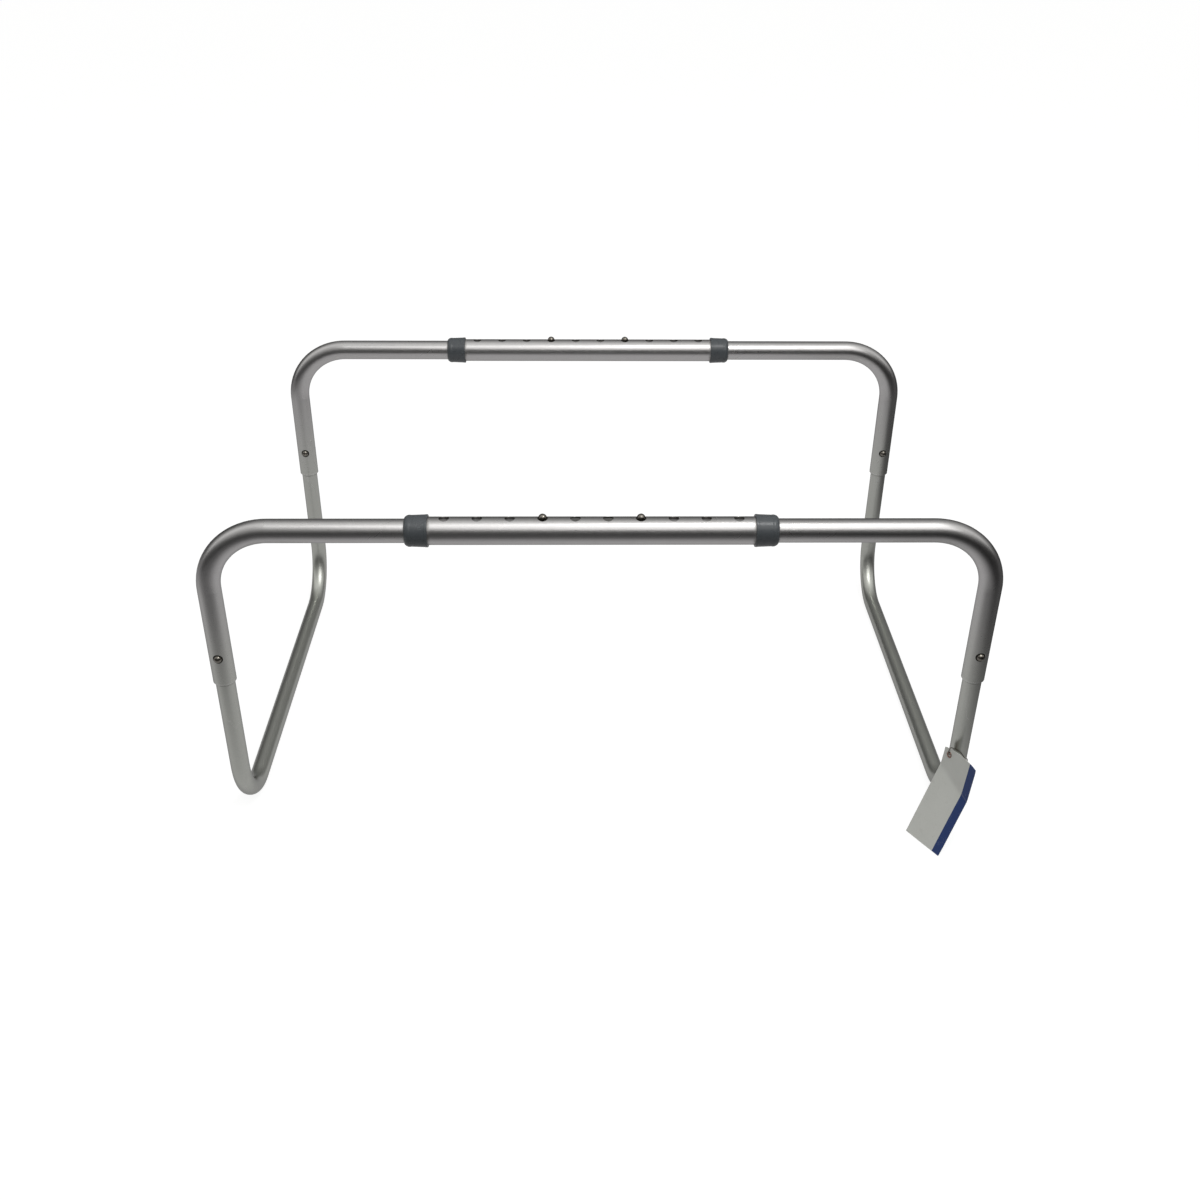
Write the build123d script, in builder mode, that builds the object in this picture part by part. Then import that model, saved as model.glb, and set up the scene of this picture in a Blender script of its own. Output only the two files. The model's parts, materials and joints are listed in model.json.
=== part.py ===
from build123d import *
from collections import namedtuple
import math
import os

os.makedirs("parts", exist_ok=True)

# Width-adjustable tubular support frame (bed cradle). Millimetres.
# Origin: floor level, centre of the leg rectangle. +X right, +Y to the rear, +Z up.
#
# Two parallel crossbars (front and rear) stand on two U-shaped base tubes (left and right).
# Each crossbar is a fat middle sleeve with ten width holes, two thinner corner tubes that slide
# in it, and two plastic collars. Each corner tube bends down into a leg whose open end is the
# socket for the upright end of a base tube. Spring snap buttons lock every sliding joint.
# A swing tag hangs on the front right leg.

# ---------------------------------------------------------------- frame layout
LEG_X = 312.0            # leg axis to the centre plane, left and right
LEG_Y = 197.5            # leg axis to the centre plane, front and rear
BAR_Z = 288.0            # crossbar axis above the floor

ENDS = {"front": -LEG_Y, "rear": LEG_Y}    # y of each crossbar
SIDES = {"left": -1, "right": 1}           # sign of x on each side

RIGHTWARD = (1, 0, 0)
FORWARD = (0, -1, 0)
UPWARD = (0, 0, 1)
DOWNWARD = (0, 0, -1)

# ---------------------------------------------------------------- tubes
SLEEVE_OD = 22.2         # 7/8 in tube
CORNER_OD = 19.05        # 3/4 in tube
BASE_OD = 15.9           # 5/8 in tube
SLIDE_GAP = 0.10         # radial running clearance between telescoping tubes
SLEEVE_ID = CORNER_OD + 2 * SLIDE_GAP
CORNER_ID = BASE_OD + 2 * SLIDE_GAP
BASE_ID = 13.1
TUBE_END_BREAK = 0.35    # broken edge on every cut tube end

CORNER_BEND_R = 52.0     # centreline radius, crossbar to leg
BASE_BEND_R = 50.0       # centreline radius, leg to floor run
SOCKET_END_Z = 148.0     # lower, open end of a corner tube
LEG_TOP_Z = 195.0        # upper end of a base tube, inside the socket
LEG_BUTTON_Z = 174.5     # snap button that locks a corner tube on a base tube

HOLE_PITCH = 25.4        # width holes, centre to centre
HOLE_COUNT = 10
SLEEVE_X = -8.0          # middle of the sleeves; they sit a little to the left of centre
SLEEVE_LENGTH = 284.0
SLEEVE_HOLE_D = 8.0      # width holes and the socket's button hole
BUTTON_HOLE_D = 7.3      # hole in the inner tube that the button comes out of
BUTTON_OFFSET = 1.5 * HOLE_PITCH    # sleeve middle to a button: fourth hole and seventh hole
TUBE_PAST_BUTTON = 10.0  # inner tube end beyond its button

# ---------------------------------------------------------------- collars
COLLAR_LENGTH = 18.0
COLLAR_OVERHANG = 3.0    # lip that stands past the end of the sleeve
COLLAR_SEAT_PLAY = 0.05  # end play between the lip and the sleeve
COLLAR_MOUTH_OD = 21.2   # outside of the lip, where the round shoulder starts
COLLAR_SHOULDER_OD = 24.7
COLLAR_SHOULDER_L = 5.0  # the shoulder's length along the bar
SHOULDER_MID_ALONG = 1.35    # middle point of the shoulder arc, from the mouth
SHOULDER_MID_RISE = 1.24     # its height over the mouth's outside
COLLAR_OD = 25.5
COLLAR_RIM_OD = 25.8     # low rim at the end that sits over the sleeve
COLLAR_RIM_W = 1.8
COLLAR_RIM_RAMP = 0.5    # length of the step up to the rim
COLLAR_RIM_FILLET = 0.4
COLLAR_LIP_ID = CORNER_OD + 0.24
COLLAR_BORE = SLEEVE_OD + 0.04

# ---------------------------------------------------------------- snap buttons and leaf springs
BUTTON_D = 6.9           # snap button, hemispherical nose
BUTTON_FLANGE_T = 0.75
BUTTON_SEAT_GAP = 0.02   # between the flange and the leaf
BUTTON_RIVET_R = 1.4
BUTTON_RIVET_TAIL = 0.45
RIVET_CLEARANCE = 0.05   # radial, in the leaf's hole
LEAF_T = 0.5             # spring steel
LEAF_BEND_R = 1.5
LEAF_LENGTH = 38.0       # from the button to the fold
LEAF_PAD_BACK = 5.2      # flat under the button, on the side away from the fold
LEAF_PAD_FRONT = 5.0     # and on the side of the fold
LEAF_FOLD_RISE = 0.6     # extra height of the fold over its two bends
LEAF_FOLD_SLANT = 1.2    # how far the fold leans outward at its bottom
LEAF_FOOT_BACK = 3.0     # far-wall leaf, past the button

# Heights are from the tube's axis towards the nose; the leaf heights are to its middle.
# leaf_bottom is the leaf on the far wall. cut_depth is how far the rivet hole's cut reaches.
Snap = namedtuple("Snap", "nose leaf_top leaf_bottom leaf_width flange_r cut_depth")
BAR_SNAP = Snap(
    nose=SLEEVE_OD / 2 + 3.5,
    leaf_top=5.3,
    leaf_bottom=-6.6,
    leaf_width=8.0,
    flange_r=4.2,
    cut_depth=SLEEVE_OD / 2,
)
LEG_SNAP = Snap(
    nose=CORNER_OD / 2 + 2.6,
    leaf_top=3.9,
    leaf_bottom=-5.35,
    leaf_width=6.4,
    flange_r=4.0,
    cut_depth=BASE_OD / 2,
)


# ================================================================ helpers
def save(part, name):
    """Label a finished piece and write its file."""
    part.label = name
    export_step(part, f"parts/{name}.step")


def crossbar_plane(y):
    """Upright plane through a crossbar: local x is +X, local y is +Z."""
    return Plane(origin=(0, y, 0), x_dir=RIGHTWARD, z_dir=FORWARD)


def side_plane(x):
    """Upright plane through a base tube: local x is +Y, local y is +Z."""
    return Plane(origin=(x, 0, 0), x_dir=(0, 1, 0), z_dir=RIGHTWARD)


def bar_button_x(side):
    return SLEEVE_X + side * BUTTON_OFFSET


# ================================================================ tubes
def sleeve_tube(y):
    """Middle tube of a crossbar, with its row of width holes in the top wall."""
    with BuildPart() as sleeve:
        with BuildSketch(Plane.YZ.offset(SLEEVE_X - SLEEVE_LENGTH / 2)):
            with Locations((y, BAR_Z)):
                Circle(SLEEVE_OD / 2)
                Circle(SLEEVE_ID / 2, mode=Mode.SUBTRACT)
        extrude(amount=SLEEVE_LENGTH)
        chamfer(sleeve.edges().filter_by(GeomType.CIRCLE), TUBE_END_BREAK)
        with BuildSketch(Plane.XY.offset(BAR_Z)):
            with Locations((SLEEVE_X, y)):
                with GridLocations(HOLE_PITCH, 1, HOLE_COUNT, 1):
                    Circle(SLEEVE_HOLE_D / 2)
        extrude(amount=SLEEVE_OD, mode=Mode.SUBTRACT)
    return sleeve.part


def corner_tube(side, y):
    """Tube from inside the sleeve, round the corner and down to its socket end."""
    button_x = bar_button_x(side)
    centreline = [
        (button_x - side * TUBE_PAST_BUTTON, BAR_Z),
        (side * LEG_X, BAR_Z),
        (side * LEG_X, SOCKET_END_Z),
    ]
    inner_end = -1 if side < 0 else 0    # the left tube ends at its highest x, the right at its lowest
    holes = [
        ((button_x, y, BAR_Z), UPWARD, BUTTON_HOLE_D),
        ((side * LEG_X, y, LEG_BUTTON_Z), FORWARD, SLEEVE_HOLE_D),
    ]
    with BuildPart() as tube:
        with BuildLine(crossbar_plane(y)) as route:
            FilletPolyline(*centreline, radius=CORNER_BEND_R)
        with BuildSketch(Plane(origin=route.line @ 0, z_dir=route.line % 0)):
            Circle(CORNER_OD / 2)
            Circle(CORNER_ID / 2, mode=Mode.SUBTRACT)
        sweep(path=route.line)
        chamfer(tube.faces().sort_by(Axis.X)[inner_end].edges(), TUBE_END_BREAK)
        chamfer(tube.faces().sort_by(Axis.Z)[0].edges(), TUBE_END_BREAK)
        for centre, outward, diameter in holes:
            with BuildSketch(Plane(origin=centre, z_dir=outward)):
                Circle(diameter / 2)
            extrude(amount=CORNER_OD, mode=Mode.SUBTRACT)
    return tube.part


def base_tube(x):
    """U-shaped tube: front leg, run along the floor, rear leg."""
    centreline = [
        (-LEG_Y, LEG_TOP_Z),
        (-LEG_Y, BASE_OD / 2),
        (LEG_Y, BASE_OD / 2),
        (LEG_Y, LEG_TOP_Z),
    ]
    with BuildPart() as tube:
        with BuildLine(side_plane(x)) as route:
            FilletPolyline(*centreline, radius=BASE_BEND_R)
        with BuildSketch(Plane(origin=route.line @ 0, z_dir=route.line % 0)):
            Circle(BASE_OD / 2)
            Circle(BASE_ID / 2, mode=Mode.SUBTRACT)
        sweep(path=route.line)
        chamfer(tube.faces().sort_by(Axis.Z)[-2:].edges(), TUBE_END_BREAK)
        # Both button holes face the front.
        for y in ENDS.values():
            with BuildSketch(Plane(origin=(x, y, LEG_BUTTON_Z), z_dir=FORWARD)):
                Circle(BUTTON_HOLE_D / 2)
            extrude(amount=BASE_OD, mode=Mode.SUBTRACT)
    return tube.part


# ================================================================ plastic collars
def collar(side, y):
    """Turned collar over one end of a sleeve; its mouth faces the leg."""
    mouth_x = SLEEVE_X + side * (SLEEVE_LENGTH / 2 + COLLAR_OVERHANG)
    rim_start = COLLAR_LENGTH - COLLAR_RIM_W
    seat = COLLAR_OVERHANG - COLLAR_SEAT_PLAY

    # Half section as (distance from the mouth, radius).
    shoulder = [
        (0, COLLAR_MOUTH_OD / 2),
        (SHOULDER_MID_ALONG, COLLAR_MOUTH_OD / 2 + SHOULDER_MID_RISE),
        (COLLAR_SHOULDER_L, COLLAR_SHOULDER_OD / 2),
    ]
    rest = [
        shoulder[-1],
        (rim_start - COLLAR_RIM_RAMP, COLLAR_OD / 2),
        (rim_start, COLLAR_RIM_OD / 2),
        (COLLAR_LENGTH, COLLAR_RIM_OD / 2),
        (COLLAR_LENGTH, COLLAR_BORE / 2),
        (seat, COLLAR_BORE / 2),
        (seat, COLLAR_LIP_ID / 2),
        (0, COLLAR_LIP_ID / 2),
        shoulder[0],
    ]

    def on_bar(half_section):
        return [(mouth_x - side * along, BAR_Z + radius) for along, radius in half_section]

    with BuildPart() as ring:
        with BuildSketch(crossbar_plane(y)):
            with BuildLine():
                ThreePointArc(*on_bar(shoulder))
                Polyline(*on_bar(rest))
            make_face()
        revolve(axis=Axis((0, y, BAR_Z), RIGHTWARD))
        circles = ring.edges().filter_by(GeomType.CIRCLE)
        rim_edges = circles.filter_by(lambda e: abs(e.radius - COLLAR_RIM_OD / 2) < 0.01)
        fillet(rim_edges, COLLAR_RIM_FILLET)
    return ring.part


# ================================================================ snap buttons and springs
def snap_button(snap, place):
    """Turned button with flange and rivet. place: origin on the tube's axis, local y outward."""
    seat = snap.leaf_top + LEAF_T / 2 + BUTTON_SEAT_GAP
    tail = snap.leaf_top - LEAF_T / 2 - BUTTON_RIVET_TAIL
    nose_centre = snap.nose - BUTTON_D / 2
    # Half section up to where the round nose starts, as (radius, height).
    half_section = [
        (0, tail),
        (BUTTON_RIVET_R, tail),
        (BUTTON_RIVET_R, seat),
        (snap.flange_r, seat),
        (snap.flange_r, seat + BUTTON_FLANGE_T),
        (BUTTON_D / 2, seat + BUTTON_FLANGE_T),
        (BUTTON_D / 2, nose_centre),
    ]
    with BuildPart() as button:
        with BuildSketch(place):
            with BuildLine():
                Polyline(*half_section)
                CenterArc((0, nose_centre), BUTTON_D / 2, 0, 90)
                Line((0, snap.nose), half_section[0])
            make_face()
        revolve(axis=Axis(place.origin, place.y_dir))
    return button.part


def snap_spring(snap, place):
    """V-shaped leaf spring. place: origin on the tube's axis, local x to the fold, y outward."""
    # Centreline: flat under the button, sloping to the fold, back along the far wall.
    centreline = [
        (-LEAF_PAD_BACK, snap.leaf_top),
        (LEAF_PAD_FRONT, snap.leaf_top),
        (LEAF_LENGTH, snap.leaf_bottom + 2 * LEAF_BEND_R + LEAF_FOLD_RISE),
        (LEAF_LENGTH + LEAF_FOLD_SLANT, snap.leaf_bottom),
        (-LEAF_FOOT_BACK, snap.leaf_bottom),
    ]
    with BuildPart() as spring:
        with BuildSketch(place):
            with BuildLine():
                FilletPolyline(*centreline, radius=LEAF_BEND_R)
            trace(line_width=LEAF_T)
        extrude(amount=snap.leaf_width / 2, both=True)
        with BuildSketch(Plane(origin=place.origin, z_dir=place.y_dir)):
            Circle(BUTTON_RIVET_R + RIVET_CLEARANCE)
        extrude(amount=snap.cut_depth, mode=Mode.SUBTRACT)
    return spring.part


# ================================================================ build the frame
for end, y in ENDS.items():
    save(sleeve_tube(y), f"{end}_sleeve_tube")
    for side_name, side in SIDES.items():
        corner = f"{end}_{side_name}"
        save(collar(side, y), f"{corner}_collar")
        save(corner_tube(side, y), f"{corner}_corner_tube")

        # Crossbar buttons point up; their springs fold towards the leg.
        at_bar = (bar_button_x(side), y, BAR_Z)
        button_place = Plane(origin=at_bar, x_dir=RIGHTWARD, z_dir=FORWARD)
        spring_place = Plane(origin=at_bar, x_dir=(side, 0, 0), z_dir=(0, -side, 0))
        save(snap_button(BAR_SNAP, button_place), f"{corner}_bar_button")
        save(snap_spring(BAR_SNAP, spring_place), f"{corner}_bar_spring")

        # Leg buttons point to the front; their springs fold at the bottom.
        at_leg = (side * LEG_X, y, LEG_BUTTON_Z)
        button_place = Plane(origin=at_leg, x_dir=RIGHTWARD, z_dir=DOWNWARD)
        spring_place = Plane(origin=at_leg, x_dir=DOWNWARD, z_dir=(-1, 0, 0))
        save(snap_button(LEG_SNAP, button_place), f"{corner}_leg_button")
        save(snap_spring(LEG_SNAP, spring_place), f"{corner}_leg_spring")

for side_name, side in SIDES.items():
    save(base_tube(side * LEG_X), f"{side_name}_base_tube")

# ================================================================ swing tag
# A blank card on a cord around the front right leg. It leans on the floor and has a soft crease
# across it, so it is two flat areas that meet in the crease.
CARD_T = 0.5
CARD_TOP_LEFT = Vector(298.40, -202.77, 79.26)
CARD_TOP_RIGHT = Vector(315.16, -237.82, 80.95)
CARD_CREASE_LEFT = Vector(296.48, -204.46, 63.44)
CARD_CREASE_RIGHT = Vector(311.41, -241.12, 49.99)
CARD_BOTTOM_RIGHT = Vector(291.01, -254.33, 0.85)
CARD_BOTTOM_LEFT = Vector(270.38, -221.37, 0.55)
CARD_CROWN = 2.5         # rise of the arched top edge over its two corners

EYELET_AT = Vector(300.75, -209.18, 75.42)
EYELET_HOLE_R = 1.5
EYELET_BARREL_R = 1.9
EYELET_CLEARANCE = 0.05  # radial, in the card's hole
EYELET_FLANGE_R = 2.9
EYELET_FLANGE_T = 0.28
EYELET_FLANGE_GAP = 0.02     # between each flange and the card
EYELET_FLANGE_FILLET = 0.1
EYELET_CUT_START = 1.0   # the hole's cut starts this far behind the card's back face
EYELET_CUT_LENGTH = CARD_T + 3

CORD_R = 0.45
CORD_LOOP_R = BASE_OD / 2 + 0.95    # cord centreline around the leg
KNOT_R = 1.15            # knot that closes the cord, behind the leg
KNOT_STAND_OFF = 0.95    # knot centre outside the cord's loop


def card_plane(corner, along, third):
    """Plane of one flat area of the card: local x from corner to along, third in the plane."""
    x_dir = (along - corner).normalized()
    normal = (along - corner).cross(third - corner).normalized()
    return Plane(origin=corner, x_dir=x_dir, z_dir=normal)


def in_plane(plane, *points):
    """Points of space in a plane's own two coordinates."""
    local_points = [plane.to_local_coords(point) for point in points]
    return [(local.X, local.Y) for local in local_points]


# Both normals point away from the leg, to the left and front.
UPPER = card_plane(CARD_CREASE_LEFT, CARD_CREASE_RIGHT, CARD_TOP_LEFT)
LOWER = card_plane(CARD_CREASE_RIGHT, CARD_CREASE_LEFT, CARD_BOTTOM_LEFT)
CARD_OUT = UPPER.z_dir
CARD_UP = (CARD_TOP_LEFT - CARD_CREASE_LEFT).normalized()
CARD_ACROSS = (CARD_TOP_RIGHT - CARD_TOP_LEFT).normalized()
CARD_TOP_MIDDLE = (CARD_TOP_LEFT + CARD_TOP_RIGHT) * 0.5 + CARD_UP * CARD_CROWN
EYELET_ON_CARD = UPPER.from_local_coords(Vector(*in_plane(UPPER, EYELET_AT)[0], 0))


def eyelet_plane(height):
    """Plane parallel to the card's upper area, centred on the eyelet, above the back face."""
    return Plane(origin=EYELET_ON_CARD + CARD_OUT * height, z_dir=CARD_OUT)


def tag_card():
    """Creased card with an arched top edge and a hole for the eyelet."""
    upper_sides = (CARD_TOP_LEFT, CARD_CREASE_LEFT, CARD_CREASE_RIGHT, CARD_TOP_RIGHT)
    top_edge = (CARD_TOP_RIGHT, CARD_TOP_MIDDLE, CARD_TOP_LEFT)
    lower = (CARD_CREASE_RIGHT, CARD_CREASE_LEFT, CARD_BOTTOM_LEFT, CARD_BOTTOM_RIGHT)
    with BuildPart() as card:
        with BuildSketch(UPPER):
            with BuildLine():
                Polyline(*in_plane(UPPER, *upper_sides))
                ThreePointArc(*in_plane(UPPER, *top_edge))
            make_face()
        extrude(amount=CARD_T)
        with BuildSketch(LOWER):
            with BuildLine():
                Polyline(*in_plane(LOWER, *lower), close=True)
            make_face()
        extrude(amount=CARD_T)
        with BuildSketch(eyelet_plane(0)):
            Circle(EYELET_BARREL_R + EYELET_CLEARANCE)
        extrude(amount=2 * CARD_T, both=True, mode=Mode.SUBTRACT)
    return card.part


def tag_eyelet():
    """Barrel through the card with a flange on each face."""
    back = -(EYELET_FLANGE_T + EYELET_FLANGE_GAP)
    with BuildPart() as eyelet:
        for flange_start in (back, CARD_T + EYELET_FLANGE_GAP):
            with BuildSketch(eyelet_plane(flange_start)):
                Circle(EYELET_FLANGE_R)
            extrude(amount=EYELET_FLANGE_T)
        with BuildSketch(eyelet_plane(back)):
            Circle(EYELET_BARREL_R)
        extrude(amount=CARD_T + 2 * EYELET_FLANGE_T + 2 * EYELET_FLANGE_GAP)
        with BuildSketch(eyelet_plane(-EYELET_CUT_START)):
            Circle(EYELET_HOLE_R)
        extrude(amount=EYELET_CUT_LENGTH, mode=Mode.SUBTRACT)
        circles = eyelet.edges().filter_by(GeomType.CIRCLE)
        flange_edges = circles.filter_by(lambda e: abs(e.radius - EYELET_FLANGE_R) < 0.01)
        fillet(flange_edges, EYELET_FLANGE_FILLET)
    return eyelet.part


# The cord comes through the eyelet from behind, goes over the card's top edge and hangs in a
# slanting loop around the leg: high at the front, low on the outer side, knotted behind the leg.
# Stations around the leg: (degrees from +X, height above the floor).
KNOT_STATION = (80, 63.6)
KNOT_TO_EYELET = [(105, 65.2), (130, 67.3), (155, 69.4), (180, 71.4), (203, 73.0)]
CARD_TO_KNOT = [
    (228, 77.6), (249, 76.4), (270, 73.8), (290, 69.6), (310, 65.6),
    (332, 62.8), (357, 61.6), (25, 61.3), (53, 62.1),
]
# Stations at the eyelet, from the middle of its hole: (out of the card, up it, across it).
THROUGH_EYELET = [(-2.2, -0.2, 0), (0, 0, 0), (1.5, 3.4, -0.5), (0.2, 6.5, -0.6)]


def around_leg(degrees, z, radius=CORD_LOOP_R):
    """Point on a circle around the front right leg."""
    angle = math.radians(degrees)
    return Vector(LEG_X + radius * math.cos(angle), -LEG_Y + radius * math.sin(angle), z)


def tag_cord():
    """Closed cord with a ball for its knot."""
    hole = EYELET_ON_CARD + CARD_OUT * (CARD_T / 2)
    knot = around_leg(*KNOT_STATION, radius=CORD_LOOP_R + KNOT_STAND_OFF)
    points = [knot]
    points += [around_leg(*station) for station in KNOT_TO_EYELET]
    for out, up, across in THROUGH_EYELET:
        points.append(hole + CARD_OUT * out + CARD_UP * up + CARD_ACROSS * across)
    points += [around_leg(*station) for station in CARD_TO_KNOT]
    points.append(knot)
    with BuildPart() as cord:
        with BuildLine() as loop:
            Spline(*points)
        with BuildSketch(Plane(origin=loop.line @ 0, z_dir=loop.line % 0)):
            Circle(CORD_R)
        sweep(path=loop.line)
        with Locations(knot):
            Sphere(KNOT_R)
    return cord.part


save(tag_card(), "tag_card")
save(tag_eyelet(), "tag_eyelet")
save(tag_cord(), "tag_cord")
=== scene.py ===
"""A tubular aluminium frame standing on the floor, with a swing tag on its front right leg.

X runs to the right, -Y is the front and Z is up; the floor is at z = 0. Two straight bars run
left to right, each a sleeve with a bent corner tube in either end. The corner tubes' lower ends
are sockets for two U-shaped base tubes, which run front to back along the floor. Snap buttons on
leaf springs lock the joints and plastic collars sit on the bars.
"""
import json
import math

import bmesh
import bpy
import numpy as np
from mathutils import Matrix, Vector
from mathutils.geometry import delaunay_2d_cdt


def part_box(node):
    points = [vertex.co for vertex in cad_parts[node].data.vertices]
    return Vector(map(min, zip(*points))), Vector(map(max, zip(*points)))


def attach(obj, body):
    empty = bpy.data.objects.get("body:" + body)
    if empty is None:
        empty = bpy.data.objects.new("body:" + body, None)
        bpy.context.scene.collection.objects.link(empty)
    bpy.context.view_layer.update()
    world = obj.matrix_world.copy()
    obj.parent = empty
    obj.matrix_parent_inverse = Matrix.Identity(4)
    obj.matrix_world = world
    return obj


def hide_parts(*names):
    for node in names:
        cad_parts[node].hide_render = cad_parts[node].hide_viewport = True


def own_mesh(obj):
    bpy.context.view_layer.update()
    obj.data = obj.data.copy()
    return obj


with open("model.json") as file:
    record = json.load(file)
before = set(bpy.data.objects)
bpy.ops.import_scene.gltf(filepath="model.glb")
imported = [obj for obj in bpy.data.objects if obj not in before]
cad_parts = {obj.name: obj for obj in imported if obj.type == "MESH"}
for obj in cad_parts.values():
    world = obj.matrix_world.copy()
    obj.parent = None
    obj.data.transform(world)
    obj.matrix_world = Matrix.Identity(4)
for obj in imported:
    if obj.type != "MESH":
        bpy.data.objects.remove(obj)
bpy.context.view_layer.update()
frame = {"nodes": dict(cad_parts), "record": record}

NODES = frame["nodes"]
MM = 0.001

# ------------------------------------------------------------------ places read from the frame
sleeve_lo, sleeve_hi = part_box("front_sleeve_tube")
BAR_Z = (sleeve_lo.z + sleeve_hi.z) / 2
BAR_Y = abs((sleeve_lo.y + sleeve_hi.y) / 2)
SLEEVE_R = (sleeve_hi.z - sleeve_lo.z) / 2
SLEEVE_X0, SLEEVE_X1 = sleeve_lo.x, sleeve_hi.x
base_lo, base_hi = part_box("right_base_tube")
LEG_X = (base_lo.x + base_hi.x) / 2
BASE_R = (base_hi.x - base_lo.x) / 2
LEG_TOP = base_hi.z
corner_lo, corner_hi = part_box("front_right_corner_tube")
CORNER_R = (corner_hi.y - corner_lo.y) / 2
SOCKET_Z = corner_lo.z              # the open lower end of the corner tubes
CORNER_BEND = 52.0 * MM             # centreline radii of the bends
BASE_BEND = 50.0 * MM
BARS = (("front", -BAR_Y), ("rear", BAR_Y))
HANDS = (("left", -1), ("right", 1))


# ------------------------------------------------------------------ objects and attributes
def add_object(name, data):
    obj = bpy.data.objects.new(name, data)
    bpy.context.scene.collection.objects.link(obj)
    return obj


def mesh_object(name, bm, smooth=True):
    """Turns the bmesh into a linked object and frees it."""
    mesh = bpy.data.meshes.new(name)
    bm.normal_update()
    bm.to_mesh(mesh)
    bm.free()
    if smooth:
        for polygon in mesh.polygons:
            polygon.use_smooth = True
    return add_object(name, mesh)


def store(obj, name, values, kind="FLOAT_VECTOR"):
    """Writes one value per vertex as an attribute."""
    field = "vector" if kind == "FLOAT_VECTOR" else "value"
    attribute = obj.data.attributes.new(name, kind, "POINT")
    attribute.data.foreach_set(field, np.array(values, np.float32).ravel())


def dress(obj, *materials):
    obj.data.materials.clear()
    for material in materials:
        obj.data.materials.append(material)


# ------------------------------------------------------------------ node graphs
class Graph:
    """The node tree of a material or world, written as short expressions."""

    def __init__(self, owner):
        self.owner = owner
        owner.use_nodes = True
        self.tree = owner.node_tree
        self.tree.nodes.clear()

    def add(self, kind, inputs=(), **settings):
        """A node; inputs maps socket names or indices to values or sockets."""
        made = self.tree.nodes.new(kind)
        for key, value in settings.items():
            setattr(made, key, value)
        for key, value in dict(inputs).items():
            self.put(made.inputs[key], value)
        return made

    def put(self, socket, value):
        if isinstance(value, bpy.types.NodeSocket):
            self.tree.links.new(value, socket)
        elif value is not None:
            if socket.type == "RGBA" and len(value) == 3:
                value = (*value, 1.0)
            socket.default_value = value

    # arithmetic
    def math(self, operation, a, b=None, c=None, clamp=False):
        inputs = enumerate((a, b, c))
        return self.add("ShaderNodeMath", inputs, operation=operation, use_clamp=clamp).outputs[0]

    def plus(self, *terms):
        total = terms[0]
        for term in terms[1:]:
            total = self.math("ADD", total, term)
        return total

    def times(self, *terms):
        total = terms[0]
        for term in terms[1:]:
            total = self.math("MULTIPLY", total, term)
        return total

    def minus(self, a, b):
        return self.math("SUBTRACT", a, b)

    def absolute(self, a):
        return self.math("ABSOLUTE", a)

    def gap(self, a, b):
        """The distance between two values"""
        return self.absolute(self.minus(a, b))

    def invert(self, a):
        return self.math("SUBTRACT", 1.0, a, clamp=True)

    def spread(self, value, amount):
        """value in 0..1 turned to -amount..amount"""
        return self.math("MULTIPLY_ADD", value, 2 * amount, -amount)

    def vary(self, base, swings, adds=()):
        """base, plus each (value, amount) swing either way, plus each (mask, amount)"""
        return self.plus(
            base, *[self.spread(*swing) for swing in swings], *[self.times(*term) for term in adds]
        )

    def ease(self, value, low, high, off=0.0, on=1.0):
        """off up to low, on from high, a smooth step between"""
        inputs = {"Value": value, "From Min": low, "From Max": high, "To Min": off, "To Max": on}
        made = self.add("ShaderNodeMapRange", inputs, interpolation_type="SMOOTHSTEP", clamp=True)
        return made.outputs["Result"]

    def fade(self, value, low, high):
        """1 below low, 0 above high"""
        return self.ease(value, low, high, off=1.0, on=0.0)

    def lerp(self, factor, off, on):
        """off where factor is 0, on where it is 1"""
        inputs = {0: factor, 2: off, 3: on}
        return self.add("ShaderNodeMix", inputs, data_type="FLOAT", clamp_factor=True).outputs[0]

    # vectors and places
    def join(self, x, y, z):
        return self.add("ShaderNodeCombineXYZ", enumerate((x, y, z))).outputs[0]

    def split(self, vector):
        made = self.add("ShaderNodeSeparateXYZ", {0: vector})
        return made.outputs[0], made.outputs[1], made.outputs[2]

    def scale(self, vector, gain):
        inputs = {0: vector, "Scale": gain}
        return self.add("ShaderNodeVectorMath", inputs, operation="SCALE").outputs["Vector"]

    def shift(self, vector, offset):
        inputs = {0: vector, 1: offset}
        return self.add("ShaderNodeVectorMath", inputs, operation="ADD").outputs["Vector"]

    def attribute(self, name, output="Vector"):
        made = self.add("ShaderNodeAttribute", attribute_type="GEOMETRY", attribute_name=name)
        return made.outputs[output]

    def place(self):
        return self.add("ShaderNodeTexCoord").outputs["Object"]

    # textures; scales are per metre
    def noise(self, vector, scale, detail=2.0, rough=0.5, warp=0.0):
        inputs = {
            "Vector": vector, "Scale": scale, "Detail": detail,
            "Roughness": rough, "Distortion": warp,
        }
        return self.add("ShaderNodeTexNoise", inputs, noise_dimensions="3D").outputs["Fac"]

    def cells(self, vector, scale):
        inputs = {"Vector": vector, "Scale": scale}
        return self.add("ShaderNodeTexVoronoi", inputs, feature="F1").outputs["Distance"]

    def hairlines(self, vector, scale, width, sparse):
        """Thin wandering scratches, 0..1: the level line of a noise, kept only in patches."""
        field = self.noise(vector, scale, detail=1.0, rough=0.4, warp=0.15)
        line = self.fade(self.gap(field, 0.5), low=width * 0.35, high=width)
        patch = self.noise(vector, scale * 0.45, detail=1.0)
        return self.times(line, self.ease(patch, low=sparse, high=sparse + 0.08))

    # colour
    def blend(self, factor, a, b):
        """colour a where factor is 0, b where it is 1"""
        inputs = {0: factor, 6: a, 7: b}
        return self.add("ShaderNodeMix", inputs, data_type="RGBA", clamp_factor=True).outputs[2]

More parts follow.
